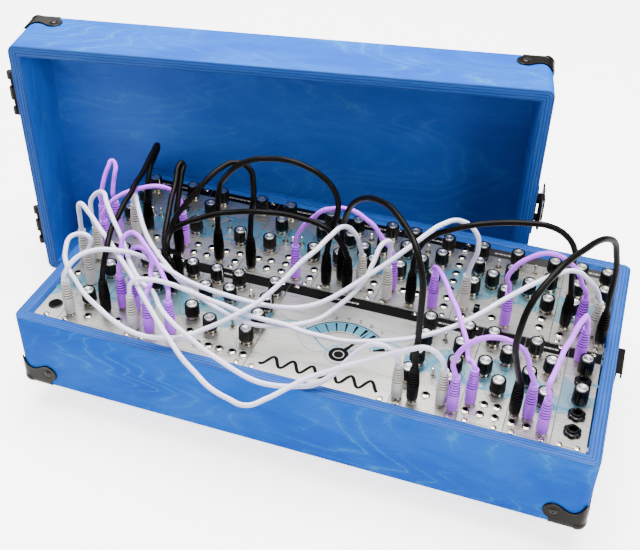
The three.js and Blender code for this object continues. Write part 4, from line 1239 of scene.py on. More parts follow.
@dataclass(frozen=True)
class PlywoodTray:
    """An open tray of plywood: walls, a floor and a rim that shows the layers.

    Attributes:
        name: The piece's name.
        depth: Its outer height, from the floor's outside to the rim.
        floor: Thickness of its floor.
        node: The CAD node that it stands for.
        body: The CAD body that it moves with.
        width: Its outer size across.
        steps: Straight steps in each corner of its outline.
        soft: How far the rim's edges are rounded.
        inner: Radius of the corners inside.
    """

    name: str
    depth: float
    floor: float
    node: str
    body: Body
    width: float = CASE_DEPTH
    steps: int = 6
    soft: float = 1.0
    inner: float = 0.4

    def ring(self, inset: float, height: float) -> list[Point]:
        """Gives the ring at an inset from the outer faces and a height above the floor."""
        x, y = CASE_LENGTH / 2 - inset, self.width / 2 - inset
        return rounded((-x, x), (-y, y), max(EDGE_RADIUS - inset, self.inner), self.steps, height)

    def build(self, place: Matrix) -> bpy.types.Object:
        """Makes the tray.

        Args:
            place: From the tray's own frame, whose Z rises from its floor, to the case's.

        Returns:
            The object.
        """
        top, soft = self.depth, self.soft
        levels = [
            (4.0, 0.0), (2.2, 0.5), (0.7, 1.8), (0.0, 4.0),
            (0.0, top - soft), (0.25, top - 0.35), (soft, top), (WALL / 2, top),
            (WALL - soft, top), (WALL - 0.25, top - 0.35), (WALL, top - soft),
            (WALL, self.floor),
        ]
        rings = [self.ring(inset, height) for inset, height in levels]
        shape = Shape(place=place)
        maps = []
        for (inset, height), ring in zip(levels, rings):
            edge = soft <= inset <= WALL - soft and height > top - 0.3
            across = inset if edge or height > top - 0.9 else height
            run, row = 0.0, []
            for i in range(len(ring) + 1):
                here, after = Vector(ring[i % len(ring)]), Vector(ring[(i + 1) % len(ring)])
                row.append((run, across))
                run += (after - here).length
            maps.append(row)
        faces = [0, 0, 0, 0, 1, 1, 1, 1, 1, 1, 2]
        shape.loft(rings, faces, maps)
        finishes = [PLY.material(), PLY_RIM.material(), PLY_INSIDE.material()]
        return shape.build(self.name, finishes, self.body, "stained_plywood", 30.0, [self.node])


@dataclass(frozen=True)
class BallCorner:
    """A ball corner of pressed black steel: a ball over the wood's corner and three screwed lobes.

    Attributes:
        node: The CAD node that it stands for.
        out: Sign of the outward way along x, y and z.
        corner: The wood's sharp corner.
        floor_axis: The axis across the wood's floor.
        body: The CAD body that it moves with.
        skin: Height of the sheet's outside above the wood.
        bend: Radius that the sheet is bent round the wood's edges.
        along: Distance of a lobe's middle from the corner, along the wall.
        rise: Its distance from the wood's floor.
        radius: Radius of a lobe.
        web: Rise of the sheet between lobe and horn.
        horn: Reach of the sheet along the edge between the walls.
        under: Distance of the floor lobe's middle from both edges.
        strip: Reach of the floor's sheet along both edges.
        pole: Distance from both edges of the point that a sheet's rings shrink to.
        ball: Radius of the ball.
        sunk: Distance of the ball's middle from the wood's three faces.
    """

    node: str
    out: tuple[int, int, int]
    corner: tuple[float, float, float]
    floor_axis: int
    body: Body
    skin: float = 1.5
    bend: float = 6.0
    along: float = 28.0
    rise: float = 17.5
    radius: float = 9.5
    web: float = 20.5
    horn: float = 34.0
    under: float = 16.0
    strip: float = 20.0
    pole: float = 10.0
    ball: float = 8.2
    sunk: float = 6.0

    def lobe(self, shape: Shape, axis: int, place: Matrix) -> None:
        """Adds the sheet and its screwed lobe on one face.

        Args:
            shape: The mesh.
            axis: The face's axis, 0 to 2.
            place: From the wood's frame to the case's.
        """
        on_floor = axis == self.floor_axis
        others = (i for i in range(3) if i != axis)
        first, second = sorted(others, key=lambda i: i == self.floor_axis)
        columns = [Vector((0, 0, 0)) for _ in range(3)]
        columns[0][first] = -self.out[first]
        columns[1][second] = -self.out[second]
        columns[2][axis] = self.out[axis]
        turn = Matrix(columns).transposed().to_4x4()
        shape.place = place @ Matrix.Translation(self.corner) @ turn
        start = len(shape.faces)
        outline = self.floor_outline() if on_floor else self.wall_outline()
        skin, pole = self.skin, self.pole
        steps = [(1.0, 0.1), (1.0, 1.2), (0.985, 1.6), (0.96, 1.7), (0.93, skin), (0.8, skin),
                 (0.65, skin), (0.5, skin), (0.3, skin), (0.02, skin)]
        rings = []
        for share, free in steps:
            rings.append([self.wrapped(pole + (x - pole) * share, pole + (y - pole) * share,
                                       skin if min(x, y) < 0.01 else free) for x, y in outline])
        shape.loft(rings)
        centre = (self.under, self.under, 0) if on_floor else (self.along, self.rise, 0)
        shape.lathe([(5.2, skin - 0.1), (4.9, skin + 0.35), (4.4, skin + 0.3), (3.5, skin - 0.3)],
                    centre, 28)
        shape.lathe([(3.5, skin - 0.4), (3.4, skin + 0.1), (2.8, skin + 0.6), (1.6, skin + 0.85),
                     (1.0, skin + 0.85), (0.85, skin + 0.1), (0.1, skin + 0.1)], centre, 20, 1)
        if turn.determinant() < 0:
            for number in range(start, len(shape.faces)):
                shape.faces[number].reverse()
                shape.maps[number].reverse()

    def wrapped(self, u: float, v: float, height: float) -> Point:
        """Lays a point of the sheet on the rounded corner.

        Args:
            u: Distance from the corner along the first edge.
            v: Distance from the corner along the second edge.
            height: Height above the wood.

        Returns:
            The point in the lobe's frame.
        """
        bend = self.bend
        middle = Vector((bend, max(u, bend), max(v, bend)))
        out = Vector((0.0, u, v)) - middle
        point = middle + out.normalized() * (bend + height)
        return (point[1], point[2], -point[0])

    def arc(self, centre: tuple[float, float], first: float, last: float,
            count: int) -> list[tuple[float, float]]:
        """Gives points on a lobe's edge.

        Args:
            centre: The lobe's middle.
            first: Angle of the first point, in degrees.
            last: Angle of the last point.
            count: Number of points.

        Returns:
            The points.
        """
        angles = [math.radians(first + (last - first) * i / (count - 1)) for i in range(count)]
        return [(centre[0] + self.radius * math.cos(angle),
                 centre[1] + self.radius * math.sin(angle)) for angle in angles]

    def wall_outline(self) -> list[tuple[float, float]]:
        """Gives the sheet on a wall, from the corner: a strip, the lobe, a web and a horn.

        Returns:
            Its points, anticlockwise.
        """
        end, web, horn = self.along + 2.5, self.web, self.horn
        points = [(end * i / 10, 0.0) for i in range(11)]
        points += [(end + 0.2, 1.6), (end - 0.8, 3.6), (end - 0.2, 5.6), (end + 1.0, 7.6)]
        points += self.arc((self.along, self.rise), -62.0, 128.0, 22)
        points += [(18.6, web + 2.5), (15.4, web + 0.7), (12.4, web), (9.6, web + 0.8),
                   (7.0, web + 3.0), (4.6, web + 6.6), (2.4, web + 10.4)]
        points += [(0.0, horn * (9 - i) / 9) for i in range(9)]
        return points

    def floor_outline(self) -> list[tuple[float, float]]:
        """Gives the sheet under the floor: the lobe and a strip along each edge.

        Returns:
            Its points, anticlockwise.
        """
        middle, strip, steps = (self.under, self.under), self.strip, 6
        points = [(strip * i / steps, 0.0) for i in range(steps + 1)]
        points += [(strip + 0.4, 3.0), (strip + 2.0, 7.0), *self.arc(middle, -40.0, 130.0, 18),
                   (7.0, strip + 2.0), (3.0, strip + 0.4)]
        points += [(0.0, strip * (steps - i) / steps) for i in range(steps)]
        return points

    def build(self, place: Matrix) -> bpy.types.Object:
        """Makes the corner.

        Args:
            place: From the wood's frame to the case's.

        Returns:
            The object.
        """
        shape = Shape()
        for axis in range(3):
            self.lobe(shape, axis, place)
        middle = [self.corner[i] - self.sunk * self.out[i] for i in range(3)]
        shape.place = place @ Matrix.Translation(middle)
        angles = [math.radians(angle) for angle in range(-85, 86, 10)]
        shape.lathe([(self.ball * math.cos(angle), self.ball * math.sin(angle))
                     for angle in angles], (0, 0, 0), 36)
        finishes = [BLACK_STEEL.material(), SCREW_STEEL.material()]
        return shape.build(f"{self.node}_cap", finishes, self.body, "black_steel", 40.0,
                           [self.node])


@dataclass(frozen=True)
class Foot:
    """A rubber foot with a washer and a screw in its sole.

    Attributes:
        node: The CAD node that it stands for.
        x: Its place from the middle of the case.
        y: Its place from the middle of the case.
        rubber: Outline of the foot, from the bottom of its screw hole to its top.
        screw: Outline of the screw's head.
    """

    node: str
    x: float
    y: float
    rubber: Profile = ((3.4, 7.0), (3.4, 0.6), (4.2, 0.0), (10.6, 0.0), (11.7, 0.4), (12.0, 1.4),
                       (13.8, 29.5), (13.6, 30.8), (13.2, 32.0), (0.1, 32.0))
    screw: Profile = ((0.1, 6.6), (3.3, 6.6), (3.3, 7.2), (0.1, 7.2))

    def build(self) -> bpy.types.Object:
        """Makes the foot.

        Returns:
            The object.
        """
        shape = Shape()
        shape.lathe(self.rubber, (self.x, self.y, 0), 40)
        shape.lathe(self.screw, (self.x, self.y, 0), 20, 1)
        finishes = [RUBBER.material(), SCREW_STEEL.material()]
        return shape.build(f"{self.node}_rubber", finishes, Body.CASE, "rubber", 40.0, [self.node])


# Modules

Places = tuple[tuple[float, float], ...]
Rings = tuple[tuple[float, float, float, float], ...]
Label = tuple[tuple[tuple[float, float], ...], float, float]
INK = 0.04  # height of the print above the panel


@dataclass(frozen=True)
class ModuleSpec:
    """One module: its width in panel units and the places of its controls.

    The places are shares of its width and of its panel's length.

    Attributes:
        units: Its width.
        knobs: Knobs.
        jacks: Empty sockets.
        patched: Sockets with a plug in them.
        toggles: Switches.
        levers: The switch whose lever moves.
        buttons: The trigger button.
        turned: Knobs that turn.
        big: Output sockets.
        flush: Flush round socket.
        blank: Whether it is a blank panel.
        motif: Pale print on its panel.
    """

    units: int
    knobs: Places = ()
    jacks: Places = ()
    patched: Places = ()
    toggles: Places = ()
    levers: Places = ()
    buttons: Places = ()
    turned: Places = ()
    big: Places = ()
    flush: Places = ()
    blank: bool = False
    motif: Motif = Motif.WAVES


REAR_MODULES = [
    ModuleSpec(15, knobs=((0.199, 0.827), (0.199, 0.625), (0.199, 0.352), (0.803, 0.835),
               (0.803, 0.625)), jacks=((0.343, 0.235), (0.737, 0.181)), patched=((0.068, 0.049),
               (0.199, 0.126), (0.461, 0.15), (0.566, 0.259)), toggles=((0.448, 0.477),
               (0.566, 0.477))),
    ModuleSpec(16, knobs=((0.258, 0.835), (0.221, 0.632), (0.196, 0.368), (0.836, 0.835),
               (0.836, 0.352)), jacks=((0.332, 0.204), (0.344, 0.095), (0.529, 0.204),
               (0.529, 0.095), (0.738, 0.196), (0.922, 0.204), (0.922, 0.095)),
               patched=((0.172, 0.173), (0.196, 0.041), (0.725, 0.072)), toggles=((0.369, 0.484),
               (0.578, 0.5)), motif=Motif.STEPS),
    ModuleSpec(16, knobs=((0.254, 0.835), (0.254, 0.617), (0.242, 0.352), (0.833, 0.835),
               (0.82, 0.632), (0.845, 0.352)), jacks=((0.181, 0.196), (0.353, 0.204),
               (0.353, 0.103), (0.55, 0.204), (0.55, 0.103), (0.537, 0.298), (0.931, 0.212),
               (0.931, 0.103)), patched=((0.168, 0.064), (0.759, 0.072)), toggles=((0.377, 0.492),
               (0.488, 0.492), (0.599, 0.5))),
    ModuleSpec(13, knobs=((0.263, 0.827), (0.248, 0.625), (0.233, 0.352), (0.551, 0.5),
               (0.778, 0.368), (0.824, 0.85), (0.793, 0.632)), jacks=((0.884, 0.103),
               (0.884, 0.212)), patched=((0.203, 0.064), (0.385, 0.165), (0.536, 0.064),
               (0.718, 0.134)), toggles=((0.536, 0.757),), motif=Motif.STEPS),
    ModuleSpec(15, knobs=((0.188, 0.842), (0.149, 0.64), (0.175, 0.368), (0.425, 0.5),
               (0.661, 0.842), (0.648, 0.632), (0.635, 0.375)), jacks=((0.307, 0.204),
               (0.49, 0.204), (0.884, 0.889), (0.884, 0.78), (0.884, 0.671), (0.884, 0.562),
               (0.884, 0.453), (0.884, 0.344), (0.884, 0.235), (0.884, 0.126)),
               patched=((0.136, 0.064), (0.149, 0.181), (0.451, 0.072), (0.74, 0.088)),
               toggles=((0.412, 0.757),)),
    ModuleSpec(19, knobs=((0.116, 0.842), (0.126, 0.632), (0.136, 0.368), (0.302, 0.5),
               (0.468, 0.352), (0.478, 0.625), (0.489, 0.842), (0.685, 0.5), (0.882, 0.827),
               (0.882, 0.617), (0.903, 0.344)), jacks=((0.116, 0.064), (0.406, 0.119),
               (0.882, 0.235), (0.882, 0.134)), patched=((0.095, 0.165), (0.54, 0.072)),
               toggles=((0.696, 0.772),), levers=((0.312, 0.757),), buttons=((0.24, 0.142),),
               motif=Motif.STEPS),
    ModuleSpec(10, knobs=((0.308, 0.827), (0.308, 0.609), (0.308, 0.368), (0.82, 0.827),
               (0.82, 0.601), (0.82, 0.36)), jacks=((0.17, 0.095),), patched=((0.209, 0.204),
               (0.485, 0.196), (0.741, 0.189), (0.898, 0.103))),
]

FRONT_MODULES = [
    ModuleSpec(5, jacks=((0.361, 0.539), (0.676, 0.422)), patched=((0.794, 0.874), (0.715, 0.772),
               (0.321, 0.695)), flush=((0.518, 0.15),)),
    ModuleSpec(16, knobs=((0.219, 0.835), (0.219, 0.609), (0.231, 0.251), (0.538, 0.835),
               (0.858, 0.586), (0.883, 0.835)), jacks=((0.329, 0.103), (0.625, 0.679),
               (0.698, 0.134)), patched=((0.071, 0.461), (0.108, 0.095), (0.501, 0.196),
               (0.907, 0.726), (0.944, 0.095), (0.649, 0.29), (0.809, 0.29)), motif=Motif.STEPS),
    ModuleSpec(22, knobs=((0.121, 0.842), (0.362, 0.835), (0.362, 0.617), (0.362, 0.368),
               (0.577, 0.835), (0.577, 0.648), (0.577, 0.274), (0.917, 0.842), (0.926, 0.64),
               (0.935, 0.446), (0.917, 0.251)), jacks=((0.416, 0.212), (0.532, 0.111),
               (0.64, 0.111), (0.738, 0.111), (0.854, 0.111), (0.953, 0.111)),
               patched=((0.058, 0.695), (0.058, 0.586), (0.103, 0.103), (0.282, 0.142)),
               toggles=((0.738, 0.36), (0.738, 0.741))),
    ModuleSpec(27, blank=True),
    ModuleSpec(12, knobs=((0.19, 0.85), (0.206, 0.656), (0.19, 0.461), (0.157, 0.267),
               (0.797, 0.842), (0.764, 0.656), (0.764, 0.453), (0.747, 0.267)),
               jacks=((0.485, 0.165),), patched=((0.091, 0.08), (0.321, 0.08), (0.731, 0.119),
               (0.911, 0.088)), toggles=((0.485, 0.36), (0.485, 0.749))),
    ModuleSpec(8, knobs=((0.285, 0.842), (0.704, 0.679), (0.285, 0.516), (0.679, 0.352)),
               jacks=((0.138, 0.111), (0.458, 0.111), (0.778, 0.111), (0.482, 0.212),
               (0.778, 0.212)), patched=((0.187, 0.196),), motif=Motif.STEPS),
    ModuleSpec(8, knobs=((0.27, 0.842), (0.688, 0.679), (0.27, 0.516), (0.688, 0.352)),
               jacks=((0.147, 0.103), (0.467, 0.103)), patched=((0.147, 0.189), (0.442, 0.189),
               (0.786, 0.088))),
    ModuleSpec(6, turned=((0.568, 0.78), (0.568, 0.469)), patched=((0.339, 0.874),),
               big=((0.568, 0.656), (0.568, 0.321), (0.535, 0.158)), motif=Motif.STEPS),
]


def sine_line(run: Point, steps: int, middle: float, rise: float, wave: float,
              phase: float = 0.0) -> list[tuple[float, float]]:
    """Gives a sine line across a panel.

    Args:
        run: Where it starts and ends, across the panel.
        steps: Straight steps that make it up.
        middle: Its middle, along the panel.
        rise: Its height.
        wave: Length of one wave.
        phase: Its phase.

    Returns:
        Its points.
    """
    xs = [run[0] + (run[1] - run[0]) * i / steps for i in range(steps + 1)]
    return [(x, middle + rise * math.sin(2 * math.pi * x / wave + phase)) for x in xs]


@dataclass(frozen=True)
class Marks:
    """Print round the controls of one panel, in the panel's own frame.

    Attributes:
        shape: The mesh that the ink goes into: 0 black, 1 light, 2 blue, 3 the header's, 4 tint.
        dial_radius: Radius of a knob's scale.
        ticks: How far its short and its long ticks reach.
        sweep: First angle of the scale and the angle from tick to tick, in degrees.
        dial_label: Place and length of each bar below a knob, and their distance and width.
        socket_label: The same for a socket.
        switch_labels: Distance and length of the bars beside a switch.
        strip: Depth of the header.
        edge: Its distance from the panel's edges.
        dashes: Lengths of the light marks on it.
        wave: Length of one wave of the pale print.
        step: Length of one step of it.
    """

    shape: Shape
    dial_radius: float = 9.9
    ticks: tuple[float, float] = (11.1, 12.0)
    sweep: tuple[int, int] = (-50, 28)
    dial_label: Label = (((-2.2, 1.6), (0.3, 2.4), (2.6, 1.2)), -11.2, 0.9)
    socket_label: Label = (((-1.1, 1.5), (0.9, 1.7)), -5.7, 0.8)
    switch_labels: tuple[tuple[float, float], ...] = ((5.2, 2.6), (-5.4, 2.0))
    strip: float = 14.0
    edge: float = 0.15
    dashes: tuple[float, ...] = (2.4, 1.0, 3.2, 1.6, 1.0, 2.8, 1.2, 3.4, 2.2, 1.0, 2.6)
    wave: float = 46.0
    step: float = 15.0

    def label(self, x: float, y: float, bars: Label) -> None:
        """Adds a row of plain bars near a control at a place."""
        for offset, length in bars[0]:
            self.shape.bar((x + offset, y + bars[1]), length, bars[2], INK, 0)

    def dial(self, x: float, y: float) -> None:
        """Adds the scale of a knob at a place: an arc, ticks and a plain label.

        Args:
            x: The knob's place.
            y: The knob's place.
        """
        first, pitch = self.sweep
        self.shape.arc((x, y), self.dial_radius, 0.3, INK, 0, (first, first + 10 * pitch), pitch)
        for i in range(11):
            angle = math.radians(first + pitch * i)
            self.shape.ribbon([(x + reach * math.cos(angle), y + reach * math.sin(angle))
                               for reach in (self.dial_radius, self.ticks[i % 5 == 0])],
                              0.28, INK, 0)
        self.label(x, y, self.dial_label)

    def socket(self, x: float, y: float) -> None:
        """Adds the plain label of a socket at a place."""
        self.label(x, y, self.socket_label)

    def switch(self, x: float, y: float) -> None:
        """Adds the plain labels of a switch at a place."""
        for offset, length in self.switch_labels:
            self.shape.bar((x, y + offset), length, 0.7, INK, 0)

    def header(self, width: float, units: int) -> None:
        """Adds the black strip along the far end, with a plain pattern of light marks.

        Args:
            width: The panel's width.
            units: Its width in units.
        """
        low, high, edge = PANEL_LENGTH - self.strip, PANEL_LENGTH - self.edge, self.edge
        self.shape.patch([(edge, low), (width - edge, low), (width - edge, high), (edge, high)],
                         INK, 3)
        if units < 6:
            return
        middle = PANEL_LENGTH - self.strip / 2 - 0.5
        run = -min(width * 0.3, 26.0)
        for length in self.dashes:
            if run > min(width * 0.28, 24.0):
                break
            self.shape.bar((width / 2 + run + length / 2, middle), length, 2.0, 2 * INK, 1)
            run += length + 0.9

    def footer(self, width: float) -> None:
        """Adds a row of fine marks along the near end of a panel that is wide enough."""
        for i in range(-4, 5) if width >= 30 else ():
            self.shape.bar((width / 2 + i * 1.9, 2.2), 1.2, 0.7, INK, 0)

    def waves(self, width: float, seed: int) -> None:
        """Adds pale-blue wave lines across the panel, of a broad and a narrow kind.

        Args:
            width: The panel's width.
            seed: Number that sets their phase.
        """
        middle = PANEL_LENGTH * (0.44 + 0.05 * (seed % 3))
        self.tint(width, seed, middle)
        for number, (rise, breadth, shift) in enumerate(((17.0, 5.5, 0.0), (23.0, 1.0, 0.5),
                                                         (11.0, 0.7, 1.1))):
            path = sine_line((0.2, width - 0.2), 60, middle, rise * (0.8 + 0.2 * number),
                             self.wave, seed * 1.3 + shift)
            self.shape.ribbon(path, breadth, INK * (0.3 + 0.2 * number), 2)

    def tint(self, width: float, seed: int, middle: float) -> None:
        """Adds a broad pale band with swaying sides, under the other print.

        Args:
            width: The panel's width.
            seed: Number that sets its phase.
            middle: Its middle, along the panel.
        """
        run = (0.2, width - 0.2)
        near = sine_line(run, 40, middle - 19.0, 8.0, 52.0, seed * 1.7)
        far = sine_line(run, 40, middle + 13.0, 11.0, 52.0 / 0.8, seed * 1.7 * 0.8 + 1.0)
        self.shape.patch(near + far[::-1], INK * 0.15, 4)

    def steps(self, width: float, seed: int) -> None:
        """Adds a pale-blue square wave across the panel.

        Args:
            width: The panel's width.
            seed: Number that sets its phase.
        """
        low, high = PANEL_LENGTH * 0.36, PANEL_LENGTH * 0.66
        self.tint(width, seed, (low + high) / 2)
        start, number = 0.3, 0
        while start < width - 0.3:
            end = min(start + self.step, width - 0.3)
            self.shape.bar(((start + end) / 2, (low, high)[(seed + number) % 2]),
                           end - start + 3.0, 3.0, INK * 0.4, 2)
            if number:
                self.shape.patch([(start - 1.5, low), (start + 1.5, low), (start + 1.5, high),
                                  (start - 1.5, high)], INK * 0.6, 2)
            start, number = start + self.step, number + 1


@dataclass(frozen=True)
class Emblem:
    """Print of the blank panel: a plain fan-shaped gauge with numbers, and one bold wave line.

    Attributes:
        x: Middle of the gauge, across the panel.
        y: Middle of the gauge, along the panel.
        radius: Radius of its scale.
        digits: The strokes of each digit, by letter.
        strokes: Both ends of the strokes a to g, in halves of a digit's width and height.
    """

    x: float = 77.5
    y: float = 45.0
    radius: float = 46.0
    digits: tuple[str, ...] = ("abcdef", "bc", "abdeg", "abcdg", "bcfg", "acdfg", "acdefg", "abc",
                               "abcdefg", "abcdfg")
    strokes: tuple[tuple[int, int, int, int], ...] = (
        (-1, 1, 1, 1), (1, 1, 1, 0), (1, 0, 1, -1), (-1, -1, 1, -1), (-1, 0, -1, -1),
        (-1, 1, -1, 0), (-1, 0, 1, 0))

    def digit(self, shape: Shape, number: int, x: float, y: float, height: float) -> None:
        """Adds one digit, of seven straight strokes.

        Args:
            shape: The mesh.
            number: The digit.
            x: Its middle.
            y: Its middle.
            height: Its height.
        """
        wide, tall = height * 0.28, height * 0.5
        for letter in self.digits[number]:
            x1, y1, x2, y2 = self.strokes["abcdefg".index(letter)]
            shape.ribbon([(x + x1 * wide, y + y1 * tall), (x + x2 * wide, y + y2 * tall)],
                         height * 0.16, INK, 0)

    def fan(self, shape: Shape) -> None:
        """Adds the gauge: its scale, wedges, numbers, needle and hub.

        Args:
            shape: The mesh: 0 black, 1 light, 2 blue.
        """
        x, y, reach = self.x, self.y, self.radius
        shape.arc((x, y), reach * 0.86, reach * 0.3, INK * 0.4, 2, (28, 152), 48)
        shape.arc((x, y), reach, 1.1, INK, 0, (24, 156), 60)
        shape.arc((x, y), reach * 0.66, 0.6, INK, 0, (24, 156), 60)
        for number in range(10):
            angle = math.radians(152 - 13.78 * number)
            cos, sin = math.cos(angle), math.sin(angle)
            wide = 0.4 + 0.22 * number
            shape.patch([(x + reach * far * cos + half * sin, y + reach * far * sin - half * cos)
                         for far, half in ((0.7, wide * 0.4), (0.96, wide), (0.96, -wide),
                                           (0.7, -wide * 0.4))], INK, 0)
            self.digit(shape, number, x + reach * 1.12 * cos, y + reach * 1.12 * sin, 4.2)
        needle = math.radians(64)
        cos, sin = math.cos(needle), math.sin(needle)
        shape.patch([(x + 2.6 * sin, y - 2.6 * cos),
                     (x + reach * 1.02 * cos, y + reach * 1.02 * sin),
                     (x - 2.6 * sin, y + 2.6 * cos)], INK * 1.3, 0)
        angles = [math.pi / 20 * number for number in range(40)]
        shape.patch([(x + 9.5 * math.cos(angle), y + 9.5 * math.sin(angle)) for angle in angles],
                    INK * 1.5, 0)
        shape.arc((x, y), 12.5, 1.0, INK, 2, sides=44)
        shape.arc((x, y), 5.0, 0.9, INK * 2, 1, sides=32)

    def build(self, shape: Shape, width: float) -> None:
        """Adds the print.

        Args:
            shape: The mesh: 0 black, 1 light, 2 blue.
            width: The panel's width.
        """
        self.fan(shape)
        for phase, rise, breadth, inked in ((0.0, 15.0, 1.8, 0.3), (1.2, 20.0, 0.7, 0.2)):
            path = sine_line((1.0, width - 1.0), 80, self.y + 16.0, rise, 96.0, phase)
            shape.ribbon(path, breadth, INK * inked, 2)
        shape.ribbon(sine_line((12.0, width - 12.0), 160, 15.5, 6.0, 18.6), 3.2, INK, 0)


@dataclass(frozen=True)
class Module:
    """One module of the rack.

    Attributes:
        node: The CAD node that it stands for.
        spec: Its controls.
        left: Its left side from the middle of the case.
        front: Its near end from the middle of the case.
        seed: Number that varies its print.
        painted_header_reflection: Whether its header strip is brown-grey: a glossier ink whose
            brown tone is a painted reflection.
        screw: Outline of a panel screw's head.
        spacer: Length of the spacers between panel and board.
        inset: Distance of the board from the panel's ends.
    """

    node: str
    spec: ModuleSpec
    left: float
    front: float
    seed: int
    painted_header_reflection: bool = False
    screw: Profile = ((2.9, -0.1), (2.9, 0.5), (2.5, 1.05), (1.5, 1.3), (1.1, 1.3), (0.8, 0.7),
                      (0.1, 0.7))
    spacer: float = 12.0
    inset: float = 14.0

    def places(self, shares: Places) -> list[tuple[float, float]]:
        """Gives places in the panel's own frame from shares of its width and length."""
        return [(across * self.spec.units * UNIT_PITCH - PANEL_SIDE_GAP / 2, along * PANEL_LENGTH)
                for across, along in shares]

    def frame(self) -> Matrix:
        """Gives the place of the panel's near left corner on its top face."""
        return Matrix.Translation((self.left + PANEL_SIDE_GAP / 2, self.front, PANEL_TOP))

    def build(self) -> None:
        """Makes the panel, its print and its controls."""
        width = self.spec.units * UNIT_PITCH - PANEL_SIDE_GAP
        panel = Shape(place=self.frame())
        panel.block((0, width), (0, PANEL_LENGTH), (-PANEL_THICKNESS, 0), 0, 0.22)
        self.board(panel, width)
        for x, y in self.screws(width):
            panel.lathe(self.screw, (x, y, 0), 20, 2)
        finishes = [PANEL.material(), BOARD.material(), NICKEL.material(), ALUMINIUM.material()]
        panel.build(f"{self.node}_panel", finishes, Body.CASE, "module_panel", 35.0, [self.node])
        self.print(width)
        self.controls()

    def screws(self, width: float) -> list[tuple[float, float]]:
        """Gives the places of the screws of a panel of a width."""
        xs = [7.5, width - 7.5] if self.spec.units > 5 else [width / 2]
        return [(x, y) for x in xs for y in (3.0, PANEL_LENGTH - 3.0)]

    def board(self, shape: Shape, width: float) -> None:
        """Adds the circuit board, its spacers and its ribbon header below the panel.

        Args:
            shape: The mesh.
            width: The panel's width.
        """
        if self.spec.blank:
            return
        top = -PANEL_THICKNESS - self.spacer
        shape.block((4, width - 4), (self.inset, PANEL_LENGTH - self.inset), (top - 1.6, top), 1,
                    0.1)
        for y in (18.0, PANEL_LENGTH - 18.0):
            shape.lathe([(0.1, top), (3.6, top), (3.6, -PANEL_THICKNESS), (0.1, -PANEL_THICKNESS)],
                        (width / 2, y, 0), 16, 3)
        half = min(20.0, width - 8) / 2
        middle = PANEL_LENGTH / 2
        shape.block((width / 2 - half, width / 2 + half), (middle - 4.5, middle + 4.5),
                    (top - 10.6, top - 1.6), 1, 0.4)

    def print(self, width: float) -> None:
        """Makes the print on the panel.

        Args:
            width: The panel's width.
        """
        ink = Shape(place=self.frame())
        marks = Marks(ink)
        spec = self.spec
        marks.header(width, spec.units)
        if spec.blank:
            Emblem().build(ink, width)
        else:
            draw = {Motif.WAVES: marks.waves, Motif.STEPS: marks.steps}[spec.motif]
            draw(width, self.seed)
            marks.footer(width)
        for mark, shares in ((marks.dial, spec.knobs + spec.turned),
                             (marks.socket, spec.jacks + spec.patched + spec.big),
                             (marks.switch, spec.toggles + spec.levers)):
            for x, y in self.places(shares):
                mark(x, y)
        # The rear row's right-hand headers take the brown ink, a painted reflection.
        head = INK_BROWN_REFLECTION if self.painted_header_reflection else INK_BLACK
        finishes = [INK_BLACK.material(), INK_LIGHT.material(), INK_BLUE.material(),
                    head.material(), INK_TINT.material()]
        ink.build(f"{self.node}_print", finishes, Body.CASE, "module_panel", 35.0)

    def controls(self) -> None:
        """Makes the knobs, sockets and switches."""
        spec = self.spec
        if spec.blank:
            return
        shape = Shape(place=self.frame())
        for number, place in enumerate(self.places(spec.knobs)):
            Knob().add(shape, (*place, 0.0), self.seed * 7 + number)
        if spec.knobs:
            shape.build(f"{self.node}_knobs", Knob.finishes(), Body.CASE, "knob", 38.0)
        small = Shape(place=self.frame())
        for number, place in enumerate(self.places(spec.toggles)):
            Toggle().add(small, (*place, 0.0), (self.seed + number) % 3 - 1)
        for add, shares in ((Jack().empty, spec.jacks), (Jack().patched, spec.patched),
                            (Toggle().nut, spec.levers), (OutputSocket().add, spec.big),
                            (FlushSocket().add, spec.flush),
                            (TriggerButton().collar, spec.buttons),
                            (Knob().shaft, spec.turned)):
            for place in self.places(shares):
                add(small, (*place, 0.0))
        # Finish 1 is the near-black bore, partly painted shade of the holes.
        finishes = [NICKEL.material(), BORE_BLACK_AND_SHADE.material(), KNOB_BLACK.material(),
                    ALUMINIUM.material()]
        small.build(f"{self.node}_fittings", finishes, Body.CASE, "lever", 38.0)


